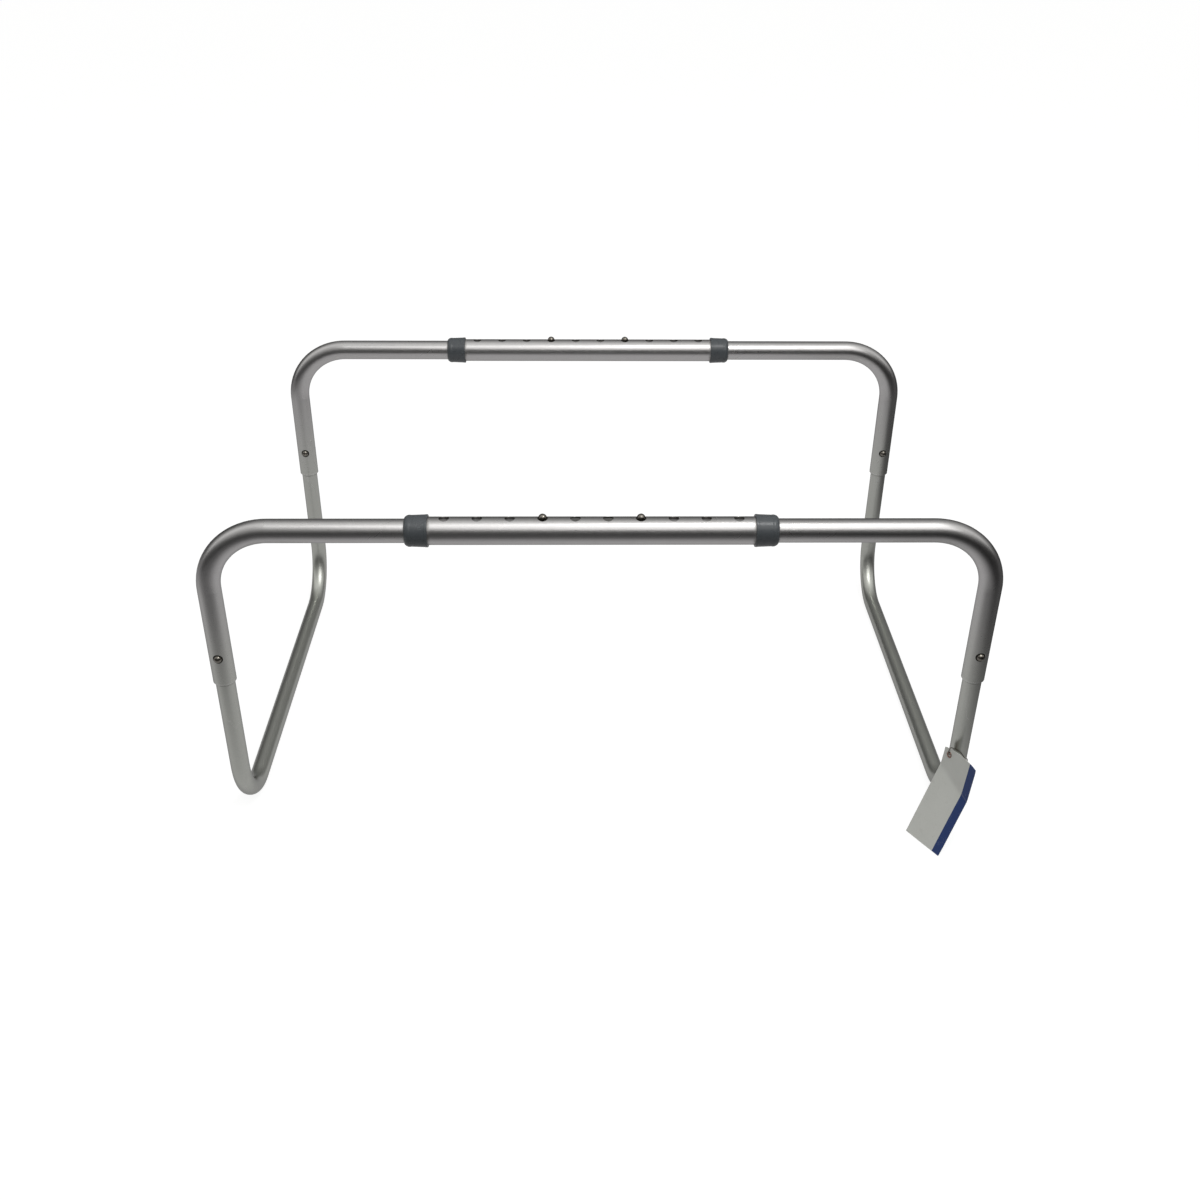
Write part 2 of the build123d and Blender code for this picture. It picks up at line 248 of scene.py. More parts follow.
    def coats(self, colour, *layers):
        """Lays (mask, share, tint) layers over colour; share scales the mask, None leaves it."""
        for mask, share, tint in layers:
            factor = mask if share is None else self.times(mask, share)
            colour = self.blend(factor, colour, tint)
        return colour

    def shade(self, colour, amount):
        """colour times (1 + amount), amount a small signed value"""
        return self.scale(colour, self.math("ADD", 1.0, amount))

    def mottled(self, colour, *swings):
        """colour made lighter and darker by each (value, amount)"""
        return self.shade(colour, self.plus(*[self.spread(*swing) for swing in swings]))

    # surface
    def rounded(self, radius):
        """(rounded normal, how much of an edge this point is)"""
        made = self.add("ShaderNodeBevel", {"Radius": radius}, samples=4)
        flat = self.add("ShaderNodeNewGeometry").outputs["Normal"]
        inputs = {0: made.outputs["Normal"], 1: flat}
        agree = self.add("ShaderNodeVectorMath", inputs, operation="DOT_PRODUCT").outputs["Value"]
        return made.outputs["Normal"], self.fade(agree, low=0.90, high=0.995)

    def openness(self, distance):
        """Ambient occlusion: 1 in the open, 0 in a nook of about this size"""
        made = self.add("ShaderNodeAmbientOcclusion", {"Distance": distance}, samples=6)
        return made.outputs["AO"]

    def relief(self, *weights, normal=None):
        """A bump made of (value, height in micrometres) terms"""
        height = self.plus(*[self.times(*weight) for weight in weights])
        inputs = {"Strength": 1.0, "Distance": 1e-6, "Height": height, "Normal": normal}
        return self.add("ShaderNodeBump", inputs).outputs["Normal"]

    def surface(self, shader, output="ShaderNodeOutputMaterial"):
        self.add(output, {"Surface": shader.outputs[0]})
        return self.owner

    def finish(self, colour, roughness, metallic, normal, **extra):
        """A principled surface; extra names its other sockets with _ for a space."""
        inputs = {
            "Base Color": colour, "Roughness": roughness, "Metallic": metallic, "Normal": normal,
        }
        for key, value in extra.items():
            inputs[key.replace("_", " ")] = value
        return self.surface(self.add("ShaderNodeBsdfPrincipled", inputs))


def new_graph(name):
    return Graph(bpy.data.materials.new(name))


# ------------------------------------------------------------------ coordinates along bent tubes
ARC_STEPS = 40
LONGEST_CHORD = 6.0 * MM            # shorter pieces of a centreline belong to a bend


def arc_points(centre, start, turn, radius):
    """Points inside an arc in a plane, angles in radians."""
    angles = [start + turn * i / ARC_STEPS for i in range(1, ARC_STEPS)]
    return [(centre[0] + radius * math.cos(a), centre[1] + radius * math.sin(a)) for a in angles]


def corner_centreline(side, y, inner_x):
    """From the socket's open end up the leg, round the bend and along the bar."""
    bend_x, bend_z = side * (LEG_X - CORNER_BEND), BAR_Z - CORNER_BEND
    start = 0.0 if side > 0 else math.pi
    flat = [(side * LEG_X, SOCKET_Z), (side * LEG_X, bend_z)]
    flat += arc_points((bend_x, bend_z), start, side * math.pi / 2, CORNER_BEND)
    flat += [(bend_x, BAR_Z), (inner_x, BAR_Z)]
    return [Vector((x, y, z)) for x, z in flat], Vector((0, 1, 0))


def base_centreline(x):
    """Front leg down, floor run, rear leg up."""
    bend_y, bend_z = BAR_Y - BASE_BEND, BASE_R + BASE_BEND
    flat = [(-BAR_Y, LEG_TOP), (-BAR_Y, bend_z)]
    flat += arc_points((-bend_y, bend_z), math.pi, math.pi / 2, BASE_BEND)
    flat += [(-bend_y, BASE_R), (bend_y, BASE_R)]
    flat += arc_points((bend_y, bend_z), -math.pi / 2, math.pi / 2, BASE_BEND)
    flat += [(BAR_Y, bend_z), (BAR_Y, LEG_TOP)]
    return [Vector((x, y, z)) for y, z in flat], Vector((1, 0, 0))


def sleeve_centreline(y):
    return [Vector((SLEEVE_X0, y, BAR_Z)), Vector((SLEEVE_X1, y, BAR_Z))], Vector((0, 1, 0))


def unroll(obj, path, across):
    """Stores each vertex's place along the tube, its two offsets from the centreline
    and whether the tube is bent there."""
    count = len(obj.data.vertices)
    co = np.empty(count * 3, np.float32)
    obj.data.vertices.foreach_get("co", co)
    co = co.reshape(-1, 3).astype(float)
    points = np.array(path)
    starts = points[:-1]
    runs = points[1:] - starts
    lengths = np.linalg.norm(runs, axis=1)
    units = runs / lengths[:, None]
    before = np.concatenate([[0], np.cumsum(lengths)[:-1]])
    nearest = np.full(count, 1e9)
    placed = np.zeros((count, 3))
    bend = np.zeros(count)
    across = np.array(across)
    for start, unit, length, passed in zip(starts, units, lengths, before):
        along = np.clip((co - start) @ unit, 0, length)
        away = co - (start + along[:, None] * unit)
        distance = np.linalg.norm(away, axis=1)
        closer = distance < nearest - 1e-9
        placed[closer, 0] = passed + along[closer]
        placed[closer, 1] = away[closer] @ np.cross(across, unit)
        placed[closer, 2] = away[closer] @ across
        bend[closer] = 1.0 if length < LONGEST_CHORD else 0.0
        nearest[closer] = distance[closer]
    store(obj, "tube_co", placed)
    store(obj, "tube_bend", bend, "FLOAT")


for where, bar_y in BARS:
    unroll(NODES[f"{where}_sleeve_tube"], *sleeve_centreline(bar_y))
    for hand, side in HANDS:
        node = f"{where}_{hand}_corner_tube"
        lo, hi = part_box(node)
        unroll(NODES[node], *corner_centreline(side, bar_y, hi.x if side < 0 else lo.x))
unroll(NODES["left_base_tube"], *base_centreline(-LEG_X))
unroll(NODES["right_base_tube"], *base_centreline(LEG_X))


# ------------------------------------------------------------------ tube metal
# Lengths in materials are in metres. Each wear function gives three masks: where the parts slide
# and rub, the bright line at a mouth or foot, and the line where grime gathers.
def arm_wear(g, x, z, up):
    """Rubbed where the arm meets the sleeve, bright above the socket's mouth."""
    half = (SLEEVE_X1 - SLEEVE_X0) / 2 + 0.003
    reach = g.minus(g.gap(x, (SLEEVE_X0 + SLEEVE_X1) / 2), half)
    on_bar = g.ease(z, low=BAR_Z - 0.020, high=BAR_Z - 0.012)
    slide = g.times(g.fade(g.absolute(reach), low=0.0, high=0.055), on_bar)
    mouth = g.fade(g.minus(z, SOCKET_Z), low=0.0004, high=0.0022)
    grime = g.times(g.fade(g.absolute(reach), low=0.0002, high=0.0016), on_bar, 0.8)
    return slide, mouth, grime


def base_wear(g, x, z, up):
    """Rubbed about the socket's mouth, bright along the line the tube stands on."""
    drop = g.minus(SOCKET_Z, z)
    slide = g.fade(g.gap(drop, 0.012), low=0.0, high=0.038)
    mouth = g.fade(z, low=0.0002, high=0.0014)
    grime = g.fade(g.gap(drop, 0.0004), low=0.0003, high=0.0022)
    return slide, mouth, grime


def sleeve_wear(g, x, z, up):
    """Rubbed on top about the middle, bright at the left end, with grime near both ends."""
    def from_middle():
        return g.absolute(g.plus(x, 0.008))

    on_top = g.ease(up, low=0.2 * SLEEVE_R, high=SLEEVE_R)
    slide = g.times(g.fade(g.gap(from_middle(), 0.0), low=0.05, high=0.13), on_top, 0.35)
    mouth = g.fade(g.minus(g.gap(x, SLEEVE_X0), 0.0), low=0.0004, high=0.0010)
    grime = g.fade(g.gap(from_middle(), 0.1268), low=0.0004, high=0.0026)
    return slide, mouth, grime


def aluminium(name, outer, wall, rough, wear, painted_bore_glow=False):
    """Satin anodised tube: fine blasted grain, faint drawing lines along it, rubbed and
    handled places, brighter worn edges. outer and wall are the tube's radius and thickness."""
    g = new_graph(name)
    tube = g.attribute("tube_co")
    bend = g.attribute("tube_bend", "Fac")
    along, up, side = g.split(tube)
    x, _, z = g.split(g.place())
    drawn = g.join(g.times(along, 0.03), up, side)
    lengthy = g.join(g.times(along, 0.3), up, side)

    grain = g.noise(tube, scale=2900.0, rough=0.65)
    pores = g.noise(tube, scale=900.0)
    lines = g.noise(drawn, scale=1500.0, detail=3.0, rough=0.6)
    mottle = g.noise(tube, scale=210.0, detail=3.0, rough=0.6)
    cloud = g.noise(lengthy, scale=34.0, detail=3.0, rough=0.55, warp=0.4)
    touch = g.noise(tube, scale=58.0, rough=0.55, warp=1.2)
    smudge = g.times(g.ease(touch, low=0.54, high=0.72), g.ease(cloud, low=0.42, high=0.62))

    stretched = g.join(g.times(along, 0.35), up, side)
    scratch_long = g.hairlines(stretched, scale=110.0, width=0.010, sparse=0.56)
    moved = g.shift(tube, (0.31, 0.17, 0.05))
    scratch_wild = g.hairlines(moved, scale=62.0, width=0.006, sparse=0.60)
    scratch = g.math("MAXIMUM", scratch_long, g.times(scratch_wild, 0.8))

    slide, mouth, grime = wear(g, x, z, up)

    # painted shade: the bore, the walls of the holes and the seat under a hole are painted dark
    from_axis = g.math("SQRT", g.plus(g.times(up, up), g.times(side, side)))
    below_skin = g.fade(from_axis, low=outer - 0.00045, high=outer - 0.00012)
    bore_shade = g.times(below_skin, g.invert(mouth))
    inner = g.fade(from_axis, low=outer - wall - 0.00002, high=outer - wall + 0.00006)
    bore_shade = g.times(bore_shade, g.lerp(inner, off=0.84, on=0.30))
    # painted shade: ambient occlusion darkens the metal in nooks beside collars, buttons and
    # sockets
    nook = g.fade(g.openness(0.0035), low=0.30, high=0.85)

    rubbed = g.times(slide, g.ease(lines, low=0.46, high=0.60))
    normal, edge = g.rounded(radius=0.00045)
    edge = g.times(edge, g.ease(pores, low=0.25, high=0.55, off=0.55, on=1.0))
    worn = g.math("MAXIMUM", edge, g.times(mouth, 0.6), clamp=True)

    # painted reflection: the lower legs and floor runs get a slight green cast, standing in for the
    # tinted floor they reflect
    floor_reflection_tint = g.fade(z, low=0.120, high=0.260)
    pale = g.blend(floor_reflection_tint, (0.625, 0.615, 0.612), (0.606, 0.618, 0.575))
    colour = g.blend(cloud, pale, g.scale(pale, 1.055))
    colour = g.mottled(colour, (mottle, 0.040), (lines, 0.030), (grain, 0.035), (pores, 0.090))
    colour = g.coats(
        colour,
        (smudge, 0.15, (0.54, 0.535, 0.51)),
        (g.times(grime, g.ease(mottle, low=0.35, high=0.65)), 0.50, (0.22, 0.215, 0.20)),
        (rubbed, 0.14, (0.72, 0.72, 0.71)),
        (scratch, 0.30, (0.78, 0.78, 0.77)),
        (worn, 0.60, (0.84, 0.84, 0.83)),
    )
    # painted shade: the colour darkens towards the rims of the tube, where the surface turns away
    # from the view
    view = g.add("ShaderNodeLayerWeight", {"Blend": 0.5})
    glancing_shade = g.ease(view.outputs["Facing"], low=0.45, high=0.92)
    colour = g.shade(colour, g.times(glancing_shade, -0.46))
    inside = g.times(inner, g.invert(mouth))
    # painted shade: nooks and the bore are darkened here; the inner wall then gets its own grey
    colour = g.coats(
        colour,
        (nook, 0.62, (0.14, 0.135, 0.125)),
        (bore_shade, None, (0.085, 0.080, 0.074)),
        (inside, 0.85, g.blend(mottle, (0.30, 0.295, 0.280), (0.40, 0.395, 0.380))),
    )

    roughness = g.vary(
        rough,
        swings=((cloud, 0.018), (mottle, 0.022), (lines, 0.024), (pores, 0.020)),
        adds=(
            (smudge, 0.012), (rubbed, -0.015), (grime, 0.120), (scratch, -0.060),
            (worn, -0.080), (bore_shade, 0.200), (bend, 0.015),
        ),
    )
    # stretched skin on the bends: a faint ripple across the tube
    hoops = g.join(along, g.times(up, 0.15), g.times(side, 0.15))
    ripple = g.times(bend, g.noise(hoops, scale=420.0, detail=1.0))
    relief = g.relief(
        (grain, 7.0), (pores, 6.5), (lines, 3.5), (mottle, 3.0), (cloud, 2.0),
        (ripple, 9.0), (scratch, -3.5), normal=normal,
    )
    extra = {}
    # painted light: the inner wall glows faintly, standing in for light let in by the row of open
    # holes
    if painted_bore_glow:       # light let in by the row of open holes
        extra = {"Emission_Color": colour, "Emission_Strength": g.times(inside, 0.18)}
    return g.finish(colour, roughness, g.lerp(inside, off=1.0, on=0.15), relief, **extra)


# ------------------------------------------------------------------ collars, buttons and springs
def moulded_plastic(name):
    """Slate-grey collar: spark-eroded skin, a parting line, scuffs and paler rubbed edges."""
    g = new_graph(name)
    spot = g.place()
    x, y, z = g.split(spot)
    out_y = g.minus(g.absolute(y), BAR_Y)
    skin = g.noise(spot, scale=2100.0, detail=3.0, rough=0.6)
    pit = g.cells(spot, scale=1500.0)
    cloud = g.noise(spot, scale=140.0, detail=3.0, rough=0.55, warp=0.5)
    flow = g.noise(g.join(g.times(x, 0.4), y, z), scale=520.0, rough=0.6)
    scuff = g.hairlines(spot, scale=210.0, width=0.012, sparse=0.53)
    rub = g.hairlines(g.join(g.times(x, 0.15), y, z), scale=420.0, width=0.02, sparse=0.55)
    parting = g.times(
        g.fade(g.gap(z, BAR_Z), low=0.00004, high=0.00020),
        g.ease(g.absolute(out_y), low=0.0095, high=0.0115),
    )
    normal, edge = g.rounded(radius=0.00050)
    # dust that settles where the collar meets the tubes
    height_squared = g.times(g.minus(z, BAR_Z), g.minus(z, BAR_Z))
    from_axis = g.math("SQRT", g.plus(g.times(out_y, out_y), height_squared))
    seat = g.times(
        g.fade(from_axis, low=0.0101, high=0.0112), g.ease(cloud, low=0.35, high=0.6)
    )

    colour = g.blend(cloud, (0.088, 0.098, 0.106), (0.104, 0.115, 0.124))
    colour = g.mottled(colour, (skin, 0.09), (flow, 0.06))
    edge_share = g.ease(cloud, low=0.35, high=0.65, off=0.10, on=0.45)
    colour = g.coats(
        colour,
        (edge, edge_share, (0.17, 0.185, 0.195)),
        (scuff, 0.45, (0.20, 0.215, 0.225)),
        (rub, 0.25, (0.15, 0.165, 0.175)),
        (parting, 0.30, (0.13, 0.145, 0.155)),
        (seat, 0.5, (0.16, 0.16, 0.155)),
    )
    roughness = g.vary(
        0.285,
        swings=((cloud, 0.06), (skin, 0.05)),
        adds=((scuff, 0.12), (edge, -0.06), (seat, 0.2)),
    )
    relief = g.relief(
        (skin, 13.0), (g.fade(pit, low=0.1, high=0.55), -7.0), (flow, 8.0), (cloud, 20.0),
        (parting, 55.0), (scuff, -12.0), normal=normal,
    )
    return g.finish(colour, roughness, 0.0, relief, IOR=1.50)


def plated_steel(name):
    """Nickel-plated snap button: polished nose, rubbed crown, dull ring at the tube."""
    g = new_graph(name)
    lift = g.attribute("button_lift", "Fac")
    spot = g.place()
    grain = g.noise(spot, scale=4200.0, rough=0.6)
    cloud = g.noise(spot, scale=700.0, detail=3.0, rough=0.6, warp=0.5)
    coarse = g.hairlines(spot, scale=900.0, width=0.020, sparse=0.47)
    moved = g.shift(spot, (0.013, 0.007, 0.021))
    fine = g.hairlines(moved, scale=1700.0, width=0.025, sparse=0.50)
    scratch = g.math("MAXIMUM", coarse, g.times(fine, 0.7))
    ring = g.times(
        g.fade(g.gap(lift, 0.0001), low=0.0002, high=0.0011),
        g.ease(cloud, low=0.25, high=0.6, off=0.5, on=1.0),
    )
    crown = g.ease(lift, low=0.0020, high=0.0034)
    normal, edge = g.rounded(radius=0.00020)
    colour = g.coats(
        g.blend(cloud, (0.190, 0.176, 0.152), (0.280, 0.262, 0.232)),
        (ring, 0.85, (0.030, 0.026, 0.021)),
        (g.times(crown, g.ease(grain, low=0.4, high=0.6)), 0.4, (0.40, 0.385, 0.355)),
        (scratch, 0.25, (0.42, 0.41, 0.39)),
    )
    roughness = g.vary(
        0.085,
        swings=((cloud, 0.035),),
        adds=((ring, 0.26), (crown, 0.03), (scratch, 0.12), (edge, 0.05)),
    )
    relief = g.relief((grain, 1.0), (cloud, 3.0), (scratch, -3.0), normal=normal)
    return g.finish(colour, roughness, 1.0, relief)


def spring_steel(name):
    """Rolled spring strip: lengthwise mill grain, a straw tint and oil stains."""
    g = new_graph(name)
    leaf = g.attribute("sheet_co")
    along, across, layer = g.split(leaf)
    mill_place = g.join(g.times(along, 0.02), across, layer)
    mill = g.noise(mill_place, scale=6000.0, detail=3.0, rough=0.6)
    broad = g.noise(g.join(g.times(along, 0.2), across, layer), scale=900.0, rough=0.6)
    stain = g.noise(leaf, scale=260.0, detail=3.0, rough=0.6, warp=0.8)
    scratch_place = g.join(g.times(along, 0.2), across, layer)
    scratch = g.hairlines(scratch_place, scale=700.0, width=0.02, sparse=0.52)
    sheared = g.ease(g.absolute(layer), low=0.5, high=1.0)
    colour = g.blend(stain, (0.36, 0.335, 0.29), (0.47, 0.455, 0.43))
    colour = g.coats(
        g.mottled(colour, (mill, 0.12), (broad, 0.06)),
        (g.ease(stain, low=0.58, high=0.72), 0.4, (0.30, 0.235, 0.15)),
        (scratch, 0.5, (0.66, 0.66, 0.65)),
    )
    roughness = g.vary(
        0.33,
        swings=((mill, 0.08), (stain, 0.07)),
        adds=((scratch, -0.1), (sheared, 0.0)),
    )
    return g.finish(
        colour, roughness, 1.0, g.relief((mill, 2.5), (broad, 4.0), (scratch, -4.0))
    )


# ------------------------------------------------------------------ tag materials
# A card's sheet_co is, in metres: across from the banded side, down from the top, and down from
# the fold.
def card_fibre(g, across, down):
    place = g.join(g.times(across, 1.0), g.times(down, 0.25), 0.0)
    return g.noise(place, scale=2600.0, detail=3.0, rough=0.65)


def card_soil(g, flat):
    return g.noise(flat, scale=190.0, detail=4.0, rough=0.6, warp=0.6)


def card_edge(name):
    """The cut side of the card: paper layers."""
    g = new_graph(name)
    across, down, past_fold = g.split(g.attribute("sheet_co"))
    place = g.join(g.times(across, 0.5), g.times(down, 0.5), g.times(past_fold, 1.0))
    layers = g.noise(place, scale=5200.0, rough=0.6)
    colour = g.blend(layers, (0.56, 0.555, 0.53), (0.74, 0.735, 0.71))
    colour = g.mottled(colour, (card_soil(g, g.join(across, down, 0.0)), 0.10))
    relief = g.relief((layers, 40.0), (card_fibre(g, across, down), 15.0))
    return g.finish(colour, 0.88, 0.0, relief)


def card_face(name, printed):
    """Coated card: soft paper tooth and scuffs; printed adds a dark blue band down one side
    with ink mottle, a whitened fold and a scuffed rim."""
    g = new_graph(name)
    across, down, past_fold = g.split(g.attribute("sheet_co"))
    flat = g.join(across, down, 0.0)
    fibre = card_fibre(g, across, down)
    tooth = g.noise(flat, scale=1900.0, detail=3.0, rough=0.6)
    cloud = g.noise(flat, scale=75.0, detail=3.0, rough=0.55)
    soil = card_soil(g, flat)
    scuff = g.hairlines(flat, scale=240.0, width=0.012, sparse=0.55)
    fold = g.absolute(past_fold)
    fold_line = g.fade(fold, low=0.0001, high=0.0012)
    crease = g.times(fold_line, g.ease(tooth, low=0.30, high=0.62), 0.35)
    fold_shade = g.fade(fold, low=0.0, high=0.0050)

    white = g.blend(cloud, (0.650, 0.662, 0.620), (0.705, 0.715, 0.675))
    white = g.mottled(white, (tooth, 0.025), (fibre, 0.030))
    white = g.coats(white, (g.ease(soil, low=0.56, high=0.74), 0.28, (0.53, 0.525, 0.48)))
    rough_adds = [(crease, 0.25), (scuff, 0.15)]
    if printed:
        wander = g.spread(g.noise(flat, scale=5200.0, detail=1.0), 0.00006)
        band = g.fade(g.plus(across, wander), low=0.00765, high=0.00777)
        ink = g.noise(flat, scale=1400.0, detail=4.0, rough=0.7)
        blue = g.coats(
            g.blend(ink, (0.012, 0.036, 0.150), (0.022, 0.056, 0.205)),
            (g.ease(ink, low=0.63, high=0.74), 0.30, (0.15, 0.21, 0.38)),
        )
        rim_line = g.fade(across, low=0.00004, high=0.00024)
        rim = g.times(band, rim_line, g.ease(soil, low=0.30, high=0.70))
        colour = g.coats(
            g.blend(band, white, blue),
            (rim, 0.45, (0.42, 0.44, 0.48)),
            (crease, g.lerp(band, off=0.25, on=0.50), (0.58, 0.58, 0.57)),
        )
        rough_adds.append((band, -0.10))
    else:
        colour = g.blend(0.5, white, (0.66, 0.64, 0.58))
    colour = g.coats(colour, (scuff, 0.22, (0.52, 0.52, 0.50)))
    # painted shade: the card is darker within a few mm either side of the fold
    colour = g.shade(colour, g.times(fold_shade, -0.05))
    roughness = g.vary(0.50, swings=((cloud, 0.05), (tooth, 0.06)), adds=rough_adds)
    relief = g.relief(
        (tooth, 7.0), (fibre, 8.0), (cloud, 60.0), (scuff, -8.0), (crease, 10.0)
    )
    return g.finish(colour, roughness, 0.0, relief, IOR=1.48)


def eyelet_metal(name):
    """Copper-washed eyelet gone brown: bright high spots, dark in the curl."""
    g = new_graph(name)
    spot = g.place()
    tarnish = g.noise(spot, scale=900.0, detail=4.0, rough=0.65, warp=0.6)
    grain = g.noise(spot, scale=5200.0, rough=0.6)
    scratch = g.hairlines(spot, scale=1500.0, width=0.03, sparse=0.48)
    normal, edge = g.rounded(radius=0.00015)
    curl = g.ease(g.openness(0.0012), low=0.45, high=0.95, off=0.9, on=0.0)
    colour = g.coats(
        g.blend(tarnish, (0.24, 0.135, 0.105), (0.52, 0.360, 0.305)),
        (g.ease(tarnish, low=0.50, high=0.66), 0.80, (0.090, 0.058, 0.045)),
        (scratch, 0.45, (0.80, 0.62, 0.50)),
        (curl, None, (0.040, 0.024, 0.018)),
    )
    roughness = g.vary(0.30, swings=((tarnish, 0.14), (grain, 0.04)), adds=((edge, -0.05),))
    relief = g.relief((grain, 2.0), (tarnish, 6.0), (scratch, -3.0), normal=normal)
    return g.finish(colour, roughness, 1.0, relief)


def twisted_cord(name):
    """Waxed two-ply cord: fibres that run round each ply, with painted shade between the plies."""
    g = new_graph(name)
    # along the cord, turn round the ply in radians, nearness to the cord's middle
    run, round_ply, core = g.split(g.attribute("cord_co"))
    wave = g.math("SINE", g.plus(g.times(run, 9500.0), g.times(round_ply, 6.0)))
    strand = g.math("MULTIPLY_ADD", wave, 0.5, 0.5)
    fuzz_place = g.join(g.times(run, 0.4), g.times(round_ply, 0.0004), core)
    fuzz = g.noise(fuzz_place, scale=5200.0, detail=3.0, rough=0.7)
    tone = g.noise(g.place(), scale=260.0)
    colour = g.blend(tone, (0.070, 0.060, 0.048), (0.120, 0.105, 0.085))
    colour = g.coats(colour, (strand, 0.5, (0.165, 0.148, 0.122)))
    colour = g.mottled(colour, (fuzz, 0.25))
    # painted shade: darker on the side of each ply that faces the cord's middle, between the plies
    colour = g.coats(colour, (core, 0.7, (0.025, 0.021, 0.017)))
    return g.finish(
        colour, g.vary(0.70, swings=((fuzz, 0.12),)), 0.0,
        g.relief((strand, 22.0), (fuzz, 26.0)), Sheen_Weight=0.25, Sheen_Roughness=0.5,
    )


SLEEVE_METAL = aluminium(
    "satin_sleeve", outer=SLEEVE_R, wall=0.00147, rough=0.310, wear=sleeve_wear, painted_bore_glow=True
)
ARM_METAL = aluminium("satin_arm", outer=CORNER_R, wall=0.00147, rough=0.285, wear=arm_wear)
BASE_METAL = aluminium("satin_base", outer=BASE_R, wall=0.00140, rough=0.310, wear=base_wear)
PLASTIC = moulded_plastic("slate_plastic")
NICKEL = plated_steel("plated_button")
LEAF_STEEL = spring_steel("leaf_steel")
CARD_FRONT = card_face("card_front", printed=True)
CARD_BACK = card_face("card_back", printed=False)
CARD_EDGE = card_edge("card_edge")
EYELET_METAL = eyelet_metal("eyelet_copper")
CORD_FIBRE = twisted_cord("cord_fibre")

# what each CAD piece wears, by the end of its name
WEAR_BY_ENDING = {
    "sleeve_tube": SLEEVE_METAL,
    "corner_tube": ARM_METAL,
    "base_tube": BASE_METAL,
    "collar": PLASTIC,
    "button": NICKEL,
}
for node, obj in NODES.items():
    for ending, material in WEAR_BY_ENDING.items():
        if node.endswith(ending):
            dress(obj, material)


def button_lift(node, co):
    """How far a point of a button stands out of the tube it locks."""
    if "_bar_" in node:
        return co.z - BAR_Z - SLEEVE_R
    leg_y = -BAR_Y if node.startswith("front") else BAR_Y
    return leg_y - co.y - CORNER_R


for node, obj in NODES.items():
    if node.endswith("_button"):
        lifts = [button_lift(node, vertex.co) for vertex in obj.data.vertices]
        store(obj, "button_lift", lifts, "FLOAT")


# ------------------------------------------------------------------ thin sheets with a hole
HOLE_SEGMENTS = 28
HOLE_COLLARS = (1.35, 1.8)          # rings of points round the hole, in hole radii
SHARP_ANGLE = math.radians(40)


def corner_arms(before, corner, after):
    """Unit vectors from a corner to its neighbours, and half the angle between them."""
    to_before, to_after = (before - corner).normalized(), (after - corner).normalized()
    return to_before, to_after, math.acos(max(-1, min(1, to_before.dot(to_after)))) / 2


def loop_points(corners, step):
    """A closed polygon's outline, resampled."""
    out = []
    for i, (ax, ay) in enumerate(corners):
        bx, by = corners[(i + 1) % len(corners)]
        count = max(1, round(math.hypot(bx - ax, by - ay) / step))
        out += [(ax + (bx - ax) * k / count, ay + (by - ay) * k / count) for k in range(count)]
    return out


def round_corners(corners, radius, count=6):
    """A polygon with each corner replaced by a curve of about the radius."""
    out = []
    for i in range(len(corners)):
        corner = Vector(corners[i])
        before, after = Vector(corners[i - 1]), Vector(corners[(i + 1) % len(corners)])
        to_before, to_after, half = corner_arms(before, corner, after)
        reach = radius / math.tan(half)
        start, end = corner + to_before * reach, corner + to_after * reach
        for k in range(count + 1):
            t = k / count
            point = start * (1 - t) ** 2 + corner * 2 * t * (1 - t) + end * t * t
            out.append((point.x, point.y))
    return out


def triangulate(outline, hole, step):
    """Flat vertices and faces of the outline with the round hole (x, y, radius) left out."""
    hole_x, hole_y, hole_r = hole

    def ring(radius, offset):
        turns = [2 * math.pi * (k + offset) / HOLE_SEGMENTS for k in range(HOLE_SEGMENTS)]
        return [
            (hole_x + radius * math.cos(turn), hole_y + radius * math.sin(turn))
            for turn in turns
        ]

    rim = loop_points(outline, step)
    start = len(rim)
    edges = [(i, (i + 1) % start) for i in range(start)]
    edges += [(start + k, start + (k + 1) % HOLE_SEGMENTS) for k in range(HOLE_SEGMENTS)]
    verts = rim + ring(hole_r, 0)
    for grow in HOLE_COLLARS:
        verts += ring(grow * hole_r, 0.5)
    # a grid inside, kept clear of the hole and the rim
    xs, ys = [p[0] for p in rim], [p[1] for p in rim]
    count_x = max(2, round((max(xs) - min(xs)) / step))
    count_y = max(2, round((max(ys) - min(ys)) / step))
    for i in range(1, count_x):
        for j in range(1, count_y):
            x = min(xs) + (max(xs) - min(xs)) * i / count_x
            y = min(ys) + (max(ys) - min(ys)) * j / count_y
            if math.hypot(x - hole_x, y - hole_y) < hole_r * HOLE_COLLARS[-1] + step * 0.4:
                continue
            if min((x - rx) ** 2 + (y - ry) ** 2 for rx, ry in rim) < (step * 0.35) ** 2:
                continue
            verts.append((x, y))
    verts, _, faces, _, _, _ = delaunay_2d_cdt([Vector(v) for v in verts], edges, [], 1, 1e-7)
    far = [math.hypot(v.x - hole_x, v.y - hole_y) for v in verts]
    return verts, [face for face in faces if max(far[i] for i in face) > hole_r * 1.002]


